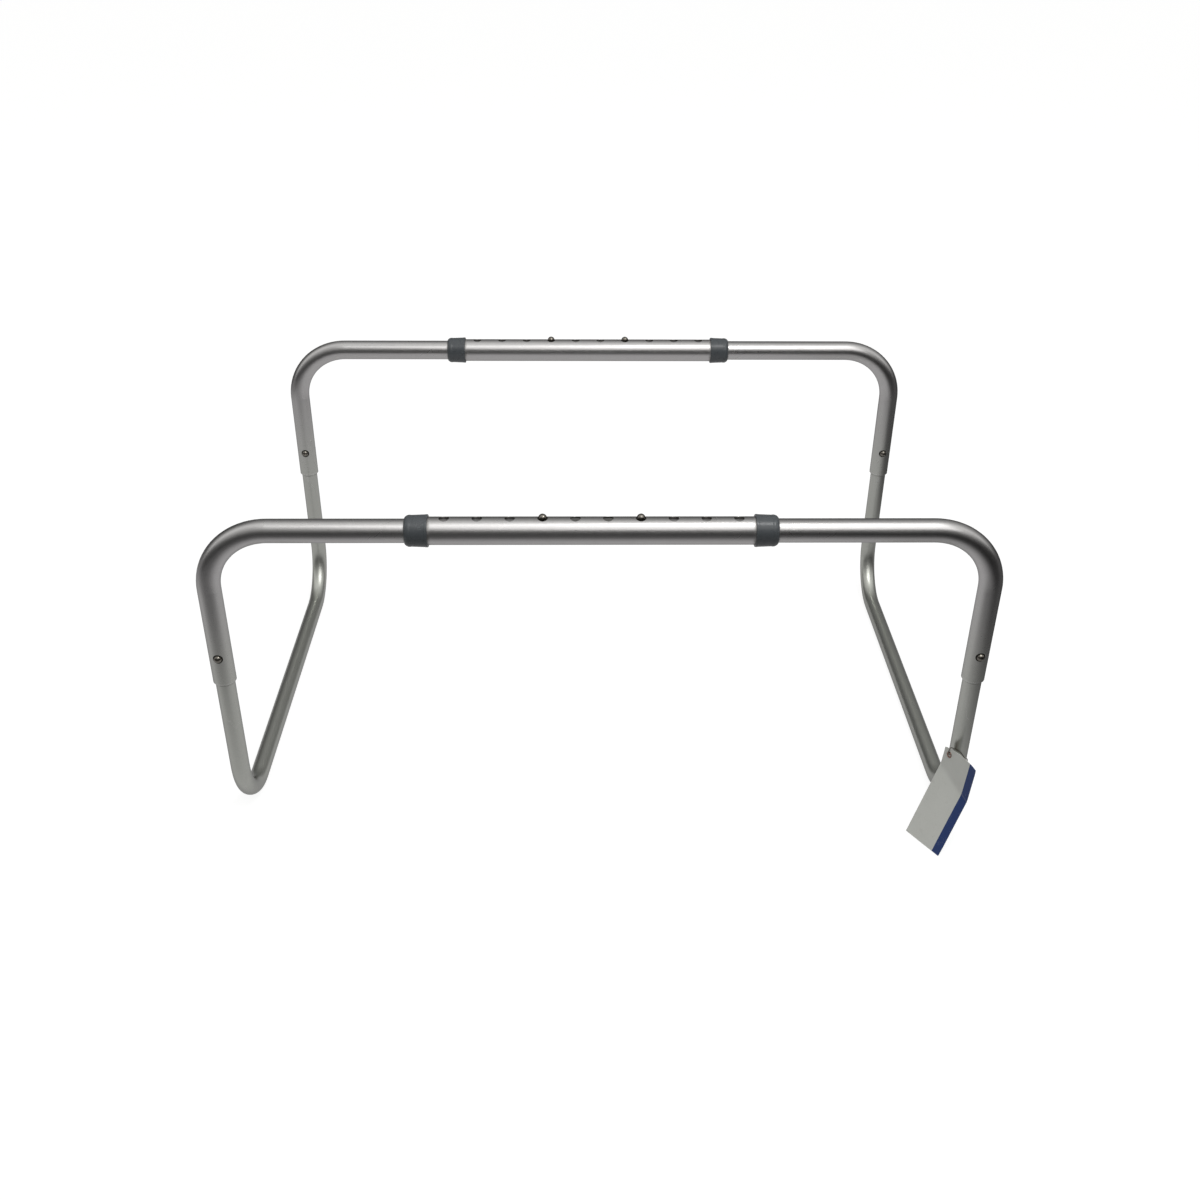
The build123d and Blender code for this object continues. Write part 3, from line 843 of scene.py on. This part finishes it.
def build_sheet(name, outline, hole, step, place, thickness, mark, side_material=0,
                back_material=0):
    """A sheet cut to an outline in its own plane. place(x, y) gives (point, normal);
    mark(x, y, layer) gives the stored coordinate, layer being 1 in front and -1 behind."""
    flat_verts, flat_faces = triangulate(outline, hole, step)
    placed = [place(flat.x, flat.y) for flat in flat_verts]
    bm = bmesh.new()
    layers, marks = [], []
    for layer in (1, -1):
        offset = layer * thickness / 2
        layers.append([bm.verts.new(point + normal * offset) for point, normal in placed])
        marks += [mark(flat.x, flat.y, layer) for flat in flat_verts]
    top, bottom = layers
    sides = {}
    for face in flat_faces:
        bm.faces.new([top[i] for i in face])
        bm.faces.new([bottom[i] for i in reversed(face)]).material_index = back_material
        for edge in zip(face, list(face[1:]) + [face[0]]):
            sides[edge] = True
    for a, b in sides:
        if (b, a) not in sides:
            wall = bm.faces.new([top[b], top[a], bottom[a], bottom[b]])
            wall.material_index = side_material
    marks = [stored for stored, vertex in zip(marks, top + bottom) if vertex.link_faces]
    loose = [vertex for vertex in bm.verts if not vertex.link_faces]
    bmesh.ops.delete(bm, geom=loose, context="VERTS")
    bmesh.ops.recalc_face_normals(bm, faces=bm.faces)
    obj = mesh_object(name, bm)
    obj.data.set_sharp_from_angle(angle=SHARP_ANGLE)
    store(obj, "sheet_co", marks)
    return obj


# ------------------------------------------------------------------ leaf springs of the buttons
# In mm. The strip's side view has its origin on the button's axis.
LEAF_THICK = 0.5
LEAF_STEP = 0.85
LEAF_FILLET = 1.5
LEAF_CORNER = 1.6
LEAF_FREE_END = 5.2                 # from the button's axis to the free end
LEAF_HOLE_R = 1.45


def fillet_path(points, radius, count=10):
    """A polyline with its inner corners rounded, as a list of 2D vectors."""
    out = [Vector(points[0])]
    for i in range(1, len(points) - 1):
        corner, before, after = Vector(points[i]), Vector(points[i - 1]), Vector(points[i + 1])
        to_before, to_after, half = corner_arms(before, corner, after)
        reach = min(
            radius / math.tan(half), 0.45 * (before - corner).length, 0.45 * (after - corner).length
        )
        fitted = reach * math.tan(half)
        centre = corner + (to_before + to_after).normalized() * (fitted / math.sin(half))
        start, end = corner + to_before * reach - centre, corner + to_after * reach - centre
        total = start.angle_signed(end)
        for k in range(count + 1):
            turn = -total * k / count
            c, s = math.cos(turn), math.sin(turn)
            out.append(centre + Vector((start.x * c - start.y * s, start.x * s + start.y * c)))
    out.append(Vector(points[-1]))
    return out


def running_lengths(path):
    """The distance along the path to each of its points."""
    lengths = [0.0]
    for a, b in zip(path, path[1:]):
        lengths.append(lengths[-1] + (b - a).length)
    return lengths


def frame_body(node):
    """The moving body a node belongs to."""
    bodies = frame["record"]["behaviour"]["bodies"]
    return next(body for body, members in bodies.items() if node in members)


def leaf_spring(stem, top, bottom, width, to_space):
    """A V-shaped strip bent from one piece, with the button's hole near its free end.
    to_space(x, y, across) places a point of the side view."""
    route = [
        (-LEAF_FREE_END, top), (5.0, top), (38.0, bottom + 3.6), (39.2, bottom), (-3.0, bottom),
    ]
    path = fillet_path(route, LEAF_FILLET)
    lengths = running_lengths(path)
    total = lengths[-1]

    def place(along, across):
        along = min(max(along, 0.0), total)
        i = max(j for j in range(len(lengths) - 1) if lengths[j] <= along + 1e-9)
        span = lengths[i + 1] - lengths[i]
        t = (along - lengths[i]) / span if span > 1e-9 else 0.0
        point = path[i].lerp(path[i + 1], t)
        tangent = (path[i + 1] - path[i]).normalized()
        # smooth the direction across the joint of two short pieces
        if t < 0.5 and i > 0:
            previous = (path[i] - path[i - 1]).normalized()
            tangent = tangent.lerp(previous, 0.5 - t).normalized()
        elif t > 0.5 and i + 2 < len(path):
            following = (path[i + 2] - path[i + 1]).normalized()
            tangent = tangent.lerp(following, t - 0.5).normalized()
        on_strip = to_space(point.x, point.y, across)
        off_strip = to_space(point.x - tangent.y, point.y + tangent.x, across)
        return on_strip, (off_strip - on_strip).normalized()

    half = width / 2
    obj = build_sheet(
        f"{stem}_leaf",
        round_corners([(0, -half), (total, -half), (total, half), (0, half)], LEAF_CORNER),
        (LEAF_FREE_END, 0.0, LEAF_HOLE_R), LEAF_STEP, place, LEAF_THICK * MM,
        lambda along, across, layer: (along * MM, across * MM, layer * LEAF_THICK / 2 * MM),
    )
    dress(obj, LEAF_STEEL)
    node = f"{stem}_spring"
    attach(obj, frame_body(node))
    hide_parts(node)
    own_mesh(obj)


def bar_leaf(stem, bar_y, away):
    """The spring under a bar button; it reaches outwards along the bar."""
    lo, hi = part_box(f"{stem}_button")
    button_x = (lo.x + hi.x) / 2

    def to_space(x, y, across):
        return Vector((button_x + away * x * MM, bar_y + away * across * MM, BAR_Z + y * MM))

    leaf_spring(
        stem, top=5.3, bottom=-6.6, width=8.0, to_space=to_space,
    )


def leg_leaf(stem, leg_y):
    """The spring behind a leg button; it reaches down the leg."""
    lo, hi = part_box(f"{stem}_button")
    button_x, button_z = (lo.x + hi.x) / 2, (lo.z + hi.z) / 2

    def to_space(x, y, across):
        return Vector((button_x - across * MM, leg_y - y * MM, button_z - x * MM))

    leaf_spring(
        stem, top=3.9, bottom=-5.35, width=6.4, to_space=to_space,
    )


for where, bar_y in BARS:
    for hand, away in HANDS:
        bar_leaf(f"{where}_{hand}_bar", bar_y, away)
        leg_leaf(f"{where}_{hand}_leg", bar_y)


# ------------------------------------------------------------------ the swing tag's card
CARD_CO = np.array([v.co for v in NODES["tag_card"].data.vertices])
CARD_THICK = 0.5 * MM
# the rest in mm
CARD_STEP = 1.1
CARD_CORNER = 0.30
CARD_CROWN = 2.5                    # rise of the arched top edge
CARD_HOLE_R = 1.95
FOLD_EASE = 3.0                     # half the length of the rounded fold
BOW = 0.55                          # bulge of the lower half
END_LIFT = 0.9                      # rise of the lower right corner
TOP_LIFT = 0.45                     # rise of the top right corner


def corner_near(guess):
    """The card's CAD corner nearest a guess, halfway through its thickness."""
    order = np.argsort(np.linalg.norm(CARD_CO - np.array(guess), axis=1))
    first = CARD_CO[order[0]]
    for i in order[1:]:
        if 0.0003 < np.linalg.norm(CARD_CO[i] - first) < 0.0008:
            return Vector((CARD_CO[i] + first) / 2)
    return Vector(first)


def facing_front(normal):
    return -normal if normal.y > 0 else normal


TOP_LEFT = corner_near((0.29840, -0.20277, 0.07926))
TOP_RIGHT = corner_near((0.31516, -0.23782, 0.08095))
FOLD_LEFT = corner_near((0.29648, -0.20446, 0.06344))
FOLD_RIGHT = corner_near((0.31141, -0.24112, 0.04999))
END_RIGHT = corner_near((0.29101, -0.25433, 0.00085))
END_LEFT = corner_near((0.27038, -0.22137, 0.00055))
UPPER_NORMAL = facing_front((FOLD_RIGHT - FOLD_LEFT).cross(TOP_LEFT - FOLD_LEFT).normalized())
LOWER_NORMAL = facing_front((FOLD_LEFT - FOLD_RIGHT).cross(END_LEFT - FOLD_RIGHT).normalized())
CARD_W = (TOP_RIGHT - TOP_LEFT).length / MM
LEFT_SIDES = ((TOP_LEFT - FOLD_LEFT).length / MM, (FOLD_LEFT - END_LEFT).length / MM)
RIGHT_SIDES = ((TOP_RIGHT - FOLD_RIGHT).length / MM, (FOLD_RIGHT - END_RIGHT).length / MM)
CARD_H = (sum(LEFT_SIDES) + sum(RIGHT_SIDES)) / 2


# u runs right and v down from the card's top left corner, in mm
def fold_at(u):
    t = u / CARD_W
    return LEFT_SIDES[0] * (1 - t) + RIGHT_SIDES[0] * t


def card_flat(u, v):
    """The card's middle surface with a sharp fold."""
    t = u / CARD_W
    fold = fold_at(u)
    middle = FOLD_LEFT.lerp(FOLD_RIGHT, t)
    if v <= fold:
        return middle.lerp(TOP_LEFT.lerp(TOP_RIGHT, t), (fold - v) / fold)
    return middle.lerp(END_LEFT.lerp(END_RIGHT, t), (v - fold) / (CARD_H - fold))


def past(value, start):
    """0 up to start, rising to 1 at 1, squared."""
    return max(0.0, (value - start) / (1 - start)) ** 2


def card_curve(u, v):
    """The same with a rounded fold, a lazy bow across the lower half and its two right
    corners turned up a little."""
    fold = fold_at(u)
    if abs(v - fold) < FOLD_EASE:
        t = (v - fold + FOLD_EASE) / (2 * FOLD_EASE)
        above, at, below = (card_flat(u, fold + d) for d in (-FOLD_EASE, 0.0, FOLD_EASE))
        point = above * (1 - t) ** 2 + at * 2 * t * (1 - t) + below * t * t
    else:
        point = card_flat(u, v)
    low = max(0.0, (v - fold - FOLD_EASE) / (CARD_H - fold))
    bow = BOW * math.sin(math.pi * u / CARD_W) * math.sin(math.pi * min(1.0, low) * 0.75)
    lift = END_LIFT * past(u / CARD_W, 0.62) * past(low, 0.70)
    top_lift = TOP_LIFT * past(u / CARD_W, 0.80) * max(0.0, 1 - v / 6.0) ** 2
    return point + LOWER_NORMAL * ((bow + lift) * MM) + UPPER_NORMAL * (top_lift * MM)


def card_place(u, v):
    """A point of the card and its normal, taken from the slope over a small step."""
    d = 0.15
    across = card_curve(min(u + d, CARD_W), v) - card_curve(max(u - d, 0), v)
    down = card_curve(u, min(v + d, CARD_H)) - card_curve(u, max(v - d, 0))
    normal = across.cross(down).normalized()
    return card_curve(u, v), normal if normal.dot(LOWER_NORMAL) > 0 else -normal


# the hole, where the CAD eyelet sits: a coarse search, then a fine one
eyelet_lo, eyelet_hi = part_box("tag_eyelet")
EYELET_MIDDLE = (eyelet_lo + eyelet_hi) / 2


def nearest_to_eyelet(us, vs):
    return min(((card_curve(u, v) - EYELET_MIDDLE).length, u, v) for u in us for v in vs)[1:]


COARSE, FINE = 0.25, 0.02
near_u, near_v = nearest_to_eyelet(
    [i * COARSE for i in range(8, 60)], [i * COARSE for i in range(4, 60)]
)
HOLE_U, HOLE_V = nearest_to_eyelet(
    [near_u + i * FINE for i in range(-12, 13)], [near_v + i * FINE for i in range(-12, 13)]
)
EYELET_AT, EYELET_NORMAL = card_place(HOLE_U, HOLE_V)


def card_outline():
    """The card's corners with an arched top edge."""
    half = CARD_W / 2
    arch_r = (half * half + CARD_CROWN * CARD_CROWN) / (2 * CARD_CROWN)
    arch = [
        (half + half * k / 9, arch_r - CARD_CROWN - math.sqrt(arch_r ** 2 - (half * k / 9) ** 2))
        for k in range(-8, 9)
    ]
    corners = [(0, 0), *arch, (CARD_W, 0), (CARD_W, CARD_H), (0, CARD_H)]
    return round_corners(corners, CARD_CORNER, 3)


def join_tag(obj, node):
    """Makes an object part of the tag in place of a CAD piece."""
    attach(obj, "tag")
    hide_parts(node)


card = build_sheet(
    "tag_card_sheet", card_outline(), (HOLE_U, HOLE_V, CARD_HOLE_R), CARD_STEP, card_place,
    CARD_THICK, lambda u, v, layer: ((CARD_W - u) * MM, v * MM, (v - fold_at(u)) * MM),
    side_material=2, back_material=1,
)
if card.data.polygons[0].normal.dot(LOWER_NORMAL) < 0:
    card.data.flip_normals()
dress(card, CARD_FRONT, CARD_BACK, CARD_EDGE)
join_tag(card, "tag_card")

# ------------------------------------------------------------------ the eyelet
LATHE_SEGMENTS = 56
# a tube flared over both faces of the card: (radius, height from the card's middle) in mm
EYELET_PROFILE = [
    (1.50, -0.30), (1.50, 0.35), (1.56, 0.58), (1.80, 0.80), (2.25, 0.84), (2.70, 0.66),
    (2.92, 0.40), (2.88, 0.275), (2.55, 0.275), (1.88, 0.270), (1.86, 0.0), (1.88, -0.270),
    (2.45, -0.275), (2.78, -0.30), (2.80, -0.42), (2.55, -0.56), (2.05, -0.62), (1.70, -0.55),
]


def lathe(name, profile, origin, axis):
    """A closed loop of (radius, height) in mm turned round the axis."""
    side = axis.orthogonal().normalized()
    other = axis.cross(side).normalized()
    bm = bmesh.new()
    rings = []
    for k in range(LATHE_SEGMENTS):
        turn = 2 * math.pi * k / LATHE_SEGMENTS
        out = side * math.cos(turn) + other * math.sin(turn)
        rings.append([bm.verts.new(origin + out * (r * MM) + axis * (h * MM)) for r, h in profile])
    for a, b in zip(rings, rings[1:] + rings[:1]):
        for i in range(len(profile)):
            j = (i + 1) % len(profile)
            bm.faces.new([a[i], b[i], b[j], a[j]])
    bmesh.ops.recalc_face_normals(bm, faces=bm.faces)
    return mesh_object(name, bm)


def smooth_loop(points, rounds=2):
    """Corner cutting on a closed loop."""
    for _ in range(rounds):
        out = []
        for a, b in zip(points, points[1:] + points[:1]):
            out.append((0.75 * a[0] + 0.25 * b[0], 0.75 * a[1] + 0.25 * b[1]))
            out.append((0.25 * a[0] + 0.75 * b[0], 0.25 * a[1] + 0.75 * b[1]))
        points = out
    return points


eyelet = lathe("tag_eyelet_rolled", smooth_loop(EYELET_PROFILE), EYELET_AT, EYELET_NORMAL)
dress(eyelet, EYELET_METAL)
join_tag(eyelet, "tag_eyelet")

# ------------------------------------------------------------------ the cord
# Two plies twisted together, looped round the front right leg and knotted behind it.
LOOP_R = BASE_R + 0.95 * MM
CORD_STEP = 0.16 * MM
PLIES = 2
PLY_SIDES = 9
KNOT_DEGREES = 80
KNOT_STEPS = 72
UP = Vector((0, 0, 1))


def around_leg(degrees, height):
    """A point of the loop; 0 degrees is to the right, 90 behind; height in mm."""
    a = math.radians(degrees)
    return Vector((LEG_X + LOOP_R * math.cos(a), -BAR_Y + LOOP_R * math.sin(a), height * MM))


def off_eyelet(out, up, left):
    """A point off the eyelet, in mm out of the card, up it and to its left."""
    return EYELET_AT + EYELET_NORMAL * (out * MM) + UP_CARD * (up * MM) - ACROSS_CARD * (left * MM)


knot_angle = math.radians(KNOT_DEGREES)
KNOT_OUT = Vector((math.cos(knot_angle), math.sin(knot_angle), 0))
KNOT_SIDE = Vector((-KNOT_OUT.y, KNOT_OUT.x, 0))
KNOT = around_leg(KNOT_DEGREES, 63.6) + KNOT_OUT * (0.95 * MM)
UP_CARD = (TOP_LEFT - FOLD_LEFT).normalized()
ACROSS_CARD = (TOP_RIGHT - TOP_LEFT).normalized()
# (degrees round the leg, height in mm) from the knot to the card and back
LOOP_OUT = [(105, 65.2), (130, 67.3), (155, 69.4), (180, 71.4), (203, 73.0)]
LOOP_BACK = [
    (228, 77.6), (249, 76.4), (270, 73.8), (290, 69.6), (310, 65.6),
    (332, 62.8), (357, 61.6), (25, 61.3), (53, 62.1),
]
CORD_ROUTE = [
    KNOT,
    *[around_leg(*stop) for stop in LOOP_OUT],
    off_eyelet(out=-2.2, up=-0.2, left=0.0),
    EYELET_AT,
    off_eyelet(out=1.5, up=3.4, left=0.5),
    off_eyelet(out=0.2, up=6.5, left=0.6),
    *[around_leg(*stop) for stop in LOOP_BACK],
    KNOT,
]


def spline_through(points):
    """Catmull-Rom through the points, resampled evenly."""
    dense = []
    for i in range(len(points) - 1):
        p0 = points[i - 1] if i else points[0] * 2 - points[1]
        p1, p2 = points[i], points[i + 1]
        p3 = points[i + 2] if i + 2 < len(points) else points[-1] * 2 - points[-2]
        linear = p2 - p0
        square = p0 * 2 - p1 * 5 + p2 * 4 - p3
        cube = p1 * 3 - p0 - p2 * 3 + p3
        for k in range(24):
            t = k / 24
            dense.append(((p1 * 2) + linear * t + square * t * t + cube * t ** 3) * 0.5)
    dense.append(points[-1].copy())
    lengths = running_lengths(dense)
    count = max(2, round(lengths[-1] / CORD_STEP))
    out, j = [], 0
    for k in range(count + 1):
        want = lengths[-1] * k / count
        while j < len(lengths) - 2 and lengths[j + 1] < want:
            j += 1
        span = max(lengths[j + 1] - lengths[j], 1e-12)
        out.append(dense[j].lerp(dense[j + 1], (want - lengths[j]) / span))
    return out


def twist_plies(bm, stored, path, offset, radius, pitch, taper=0.0):
    """Adds twisted plies along a path, thinning over the last taper of its length.
    offset is from the path to a ply's middle, radius the ply's own."""
    normal = (path[1] - path[0]).normalized().orthogonal().normalized()
    frames, run = [], 0.0
    for i, point in enumerate(path):
        tangent = (path[min(i + 1, len(path) - 1)] - path[max(i - 1, 0)]).normalized()
        normal = (normal - tangent * normal.dot(tangent)).normalized()
        if i:
            run += (point - path[i - 1]).length
        frames.append((point, normal, tangent.cross(normal), run))
    total = run
    for ply in range(PLIES):
        rings = []
        for point, normal, other, run in frames:
            phase = 2 * math.pi * (run / pitch + ply / PLIES)
            thin = 1.0 if taper <= 0 else min(1.0, 0.35 + 0.65 * (total - run) / taper)
            to_ply = normal * math.cos(phase) + other * math.sin(phase)
            centre = point + to_ply * offset * thin
            ring = []
            for k in range(PLY_SIDES):
                turn = 2 * math.pi * k / PLY_SIDES
                out = normal * math.cos(turn) + other * math.sin(turn)
                ring.append(bm.verts.new(centre + out * radius * thin))
                stored.append((run, turn, max(0.0, -math.cos(turn - phase))))
            rings.append(ring)
        for a, b in zip(rings, rings[1:]):
            for k in range(PLY_SIDES):
                m = (k + 1) % PLY_SIDES
                bm.faces.new([a[k], a[m], b[m], b[k]])
        bm.faces.new(list(reversed(rings[0])))
        bm.faces.new(rings[-1])


def knot_path():
    """A small overhand knot, seen end on from outside the leg."""
    path = []
    for k in range(KNOT_STEPS + 1):
        t = 2 * math.pi * k / KNOT_STEPS
        ring_r = 0.62 + 0.25 * math.cos(3 * t)
        path.append(
            KNOT
            + KNOT_SIDE * (ring_r * math.cos(2 * t) * MM)
            + UP * (ring_r * math.sin(2 * t) * MM)
            + KNOT_OUT * ((0.10 + 0.26 * math.sin(3 * t)) * MM)
        )
    return path


def tail_path(lean, drop):
    """A loose end from the knot; lean is sideways and drop is vertical, in mm."""
    def off_knot(out, side, up):
        return KNOT + KNOT_OUT * (out * MM) + KNOT_SIDE * (side * MM) + UP * (up * MM)

    return spline_through([
        off_knot(0.0, 0.0, -0.3),
        off_knot(0.55, lean * 0.5, drop * 0.45),
        off_knot(0.80, lean, drop),
    ])


bm = bmesh.new()
ply_places = []
twist_plies(
    bm, ply_places, spline_through(CORD_ROUTE),
    offset=0.20 * MM, radius=0.245 * MM, pitch=2.1 * MM,
)
twist_plies(bm, ply_places, knot_path(), offset=0.13 * MM, radius=0.19 * MM, pitch=1.3 * MM)
for lean, drop in ((-0.9, -4.6), (0.8, -3.7)):
    twist_plies(
        bm, ply_places, tail_path(lean, drop),
        offset=0.18 * MM, radius=0.22 * MM, pitch=2.0 * MM, taper=1.2 * MM,
    )
bm.normal_update()
bmesh.ops.recalc_face_normals(bm, faces=bm.faces)
cord = mesh_object("tag_cord_twisted", bm)
store(cord, "cord_co", ply_places)
dress(cord, CORD_FIBRE)
join_tag(cord, "tag_cord")

# ------------------------------------------------------------------ floor
FLOOR_Z = -0.00005
FLOOR_RADII = (0.5, 1.5, 5.0, 15.0, 60.0)
FLOOR_SEGMENTS = 48


def floor_material():
    """Pale seamless paper: almost white to the camera, and falling off away from the object
    in reflections."""
    g = new_graph("pale_paper")
    spot = g.place()
    x, y, _ = g.split(spot)
    tooth = g.noise(spot, scale=900.0, detail=3.0, rough=0.6)
    cloud = g.noise(spot, scale=3.0, detail=3.0)
    direct = g.add("ShaderNodeLightPath").outputs["Is Camera Ray"]
    # what the metal sees: bright under the object, darker towards the front and the right
    far_front = g.lerp(g.ease(y, low=-1.50, high=-0.72), off=0.065, on=0.09)
    ahead = g.lerp(g.ease(y, low=-0.72, high=-0.20), off=far_front, on=0.465)
    behind = g.lerp(g.fade(y, low=0.45, high=1.10), off=0.30, on=1.0)
    right_side = g.lerp(g.fade(x, low=0.20, high=0.66), off=0.18, on=1.0)
    left_side = g.lerp(g.ease(x, low=-1.40, high=-0.70), off=0.45, on=1.0)
    level = g.times(ahead, behind, right_side, left_side)
    seen = g.mottled((0.80, 0.80, 0.797), (cloud, 0.01), (tooth, 0.015))
    paper = g.add("ShaderNodeBsdfDiffuse", {
        "Color": g.scale(seen, g.times(direct, 0.40)),
        "Roughness": 0.9,
        "Normal": g.relief((tooth, 20.0)),
    })
    glow = g.add("ShaderNodeEmission", {
        "Color": g.blend(direct, (1.0, 0.990, 0.996), (1.0, 1.0, 1.0)),
        "Strength": g.lerp(direct, off=level, on=0.86),
    })
    return g.surface(g.add("ShaderNodeAddShader", {0: paper.outputs[0], 1: glow.outputs[0]}))


def floor_disc():
    bm = bmesh.new()
    centre = bm.verts.new((0, 0, FLOOR_Z))
    turns = [2 * math.pi * k / FLOOR_SEGMENTS for k in range(FLOOR_SEGMENTS)]
    rings = [
        [bm.verts.new((r * math.cos(turn), r * math.sin(turn), FLOOR_Z)) for turn in turns]
        for r in FLOOR_RADII
    ]
    for k in range(FLOOR_SEGMENTS):
        bm.faces.new([centre, rings[0][k], rings[0][(k + 1) % FLOOR_SEGMENTS]])
    for a, b in zip(rings, rings[1:]):
        for k in range(FLOOR_SEGMENTS):
            m = (k + 1) % FLOOR_SEGMENTS
            bm.faces.new([a[k], b[k], b[m], a[m]])
    return mesh_object("floor", bm, smooth=False)


floor = floor_disc()
floor.data.materials.append(floor_material())

# ------------------------------------------------------------------ room light
# (degrees from the front horizon over the top to the back horizon, brightness)
ROOM_LEVELS = (
    (0.0, 0.040), (4.0, 0.045), (12.0, 0.07), (22.0, 0.13), (36.0, 0.26), (60.0, 0.50),
    (84.0, 0.78), (94.0, 0.82), (104.0, 0.68), (114.0, 0.50), (126.0, 0.35), (138.0, 0.240),
    (146.0, 0.185), (155.0, 0.160), (166.0, 0.14), (180.0, 0.10),
)


def build_world():
    world = bpy.data.worlds.new("studio")
    bpy.context.scene.world = world
    g = Graph(world)
    x, y, z = g.split(g.add("ShaderNodeTexCoord").outputs["Generated"])
    direct = g.add("ShaderNodeLightPath").outputs["Is Camera Ray"]
    swing = g.times(g.math("ARCTAN2", z, g.times(y, -1.0)), 1.0 / math.pi)
    ramp = g.add("ShaderNodeValToRGB", {0: swing})
    ramp.color_ramp.interpolation = "EASE"
    stops = ramp.color_ramp.elements
    for index, (degrees, value) in enumerate(ROOM_LEVELS):
        if index < 2:               # a new ramp already has two stops
            stop = stops[index]
            stop.position = degrees / 180
        else:
            stop = stops.new(degrees / 180)
        stop.color = (value, value, value, 1.0)
    room = g.split(ramp.outputs["Color"])[0]
    # dimmer low at the front right, brighter at the back right, dimmer at the back left
    low = g.fade(z, low=0.05, high=0.42)
    back = g.ease(y, low=0.30, high=0.60)
    front_right = g.times(g.ease(x, low=0.25, high=0.62), low, g.fade(y, low=0.05, high=0.35))
    back_right = g.times(back, g.ease(x, low=0.25, high=0.60))
    back_left = g.times(back, g.fade(x, low=-0.60, high=-0.25))
    level = g.times(room, g.lerp(front_right, off=1.0, on=0.38))
    level = g.times(
        level, g.lerp(back_right, off=1.0, on=1.25), g.lerp(back_left, off=1.0, on=0.55)
    )
    glow = g.add("ShaderNodeBackground", {
        "Color": (1.0, 1.0, 0.985),
        "Strength": g.lerp(direct, off=level, on=0.94),
    })
    g.surface(glow, output="ShaderNodeOutputWorld")


def softbox(name, at, aim, size_x, size_y, watts, colour):
    """A rectangular area light turned towards aim."""
    light = bpy.data.lights.new(name, "AREA")
    light.shape = "RECTANGLE"
    light.size = size_x
    light.size_y = size_y
    light.energy = watts
    light.color = colour
    look = (Vector(aim) - Vector(at)).normalized()
    turn = look.to_track_quat("-Z", "Y").to_matrix().to_4x4()
    add_object(name, light).matrix_world = Matrix.Translation(Vector(at)) @ turn


build_world()
softbox(
    "key", at=(0.30, -0.820, 1.545), aim=(0.0, -0.1975, 0.288),
    size_x=1.60, size_y=1.40, watts=7.25, colour=(1.0, 0.995, 0.985),
)
softbox(
    "lamp", at=(0.305, -0.470, 1.500), aim=(0.13, -0.1975, 0.288),
    size_x=0.15, size_y=0.15, watts=1.90, colour=(1.0, 1.0, 1.0),
)

# ------------------------------------------------------------------ camera
CAMERA_AT = Vector((-0.01885, -1.07754, 0.76234))
# degrees; with all three at 0 the camera looks along +Y with Z up
YAW, PITCH, ROLL = -1.1519, -31.4125, -0.5003

turn = (
    Matrix.Rotation(math.radians(YAW), 3, "Z")
    @ Matrix.Rotation(math.radians(PITCH), 3, "X")
    @ Matrix.Rotation(math.radians(ROLL), 3, "Y")
)
right, forward, upward = turn.col[0], turn.col[1], turn.col[2]
camera_data = bpy.data.cameras.new("camera")
camera_data.sensor_width = 36.0
camera_data.lens = 38.5075
camera_data.clip_end = 200.0
camera = add_object("camera", camera_data)
camera_turn = Matrix((right, upward, -forward)).transposed().to_4x4()
camera.matrix_world = Matrix.Translation(CAMERA_AT) @ camera_turn

scene = bpy.context.scene
scene.camera = camera
scene.view_settings.view_transform = "Standard"
scene.view_settings.look = "None"
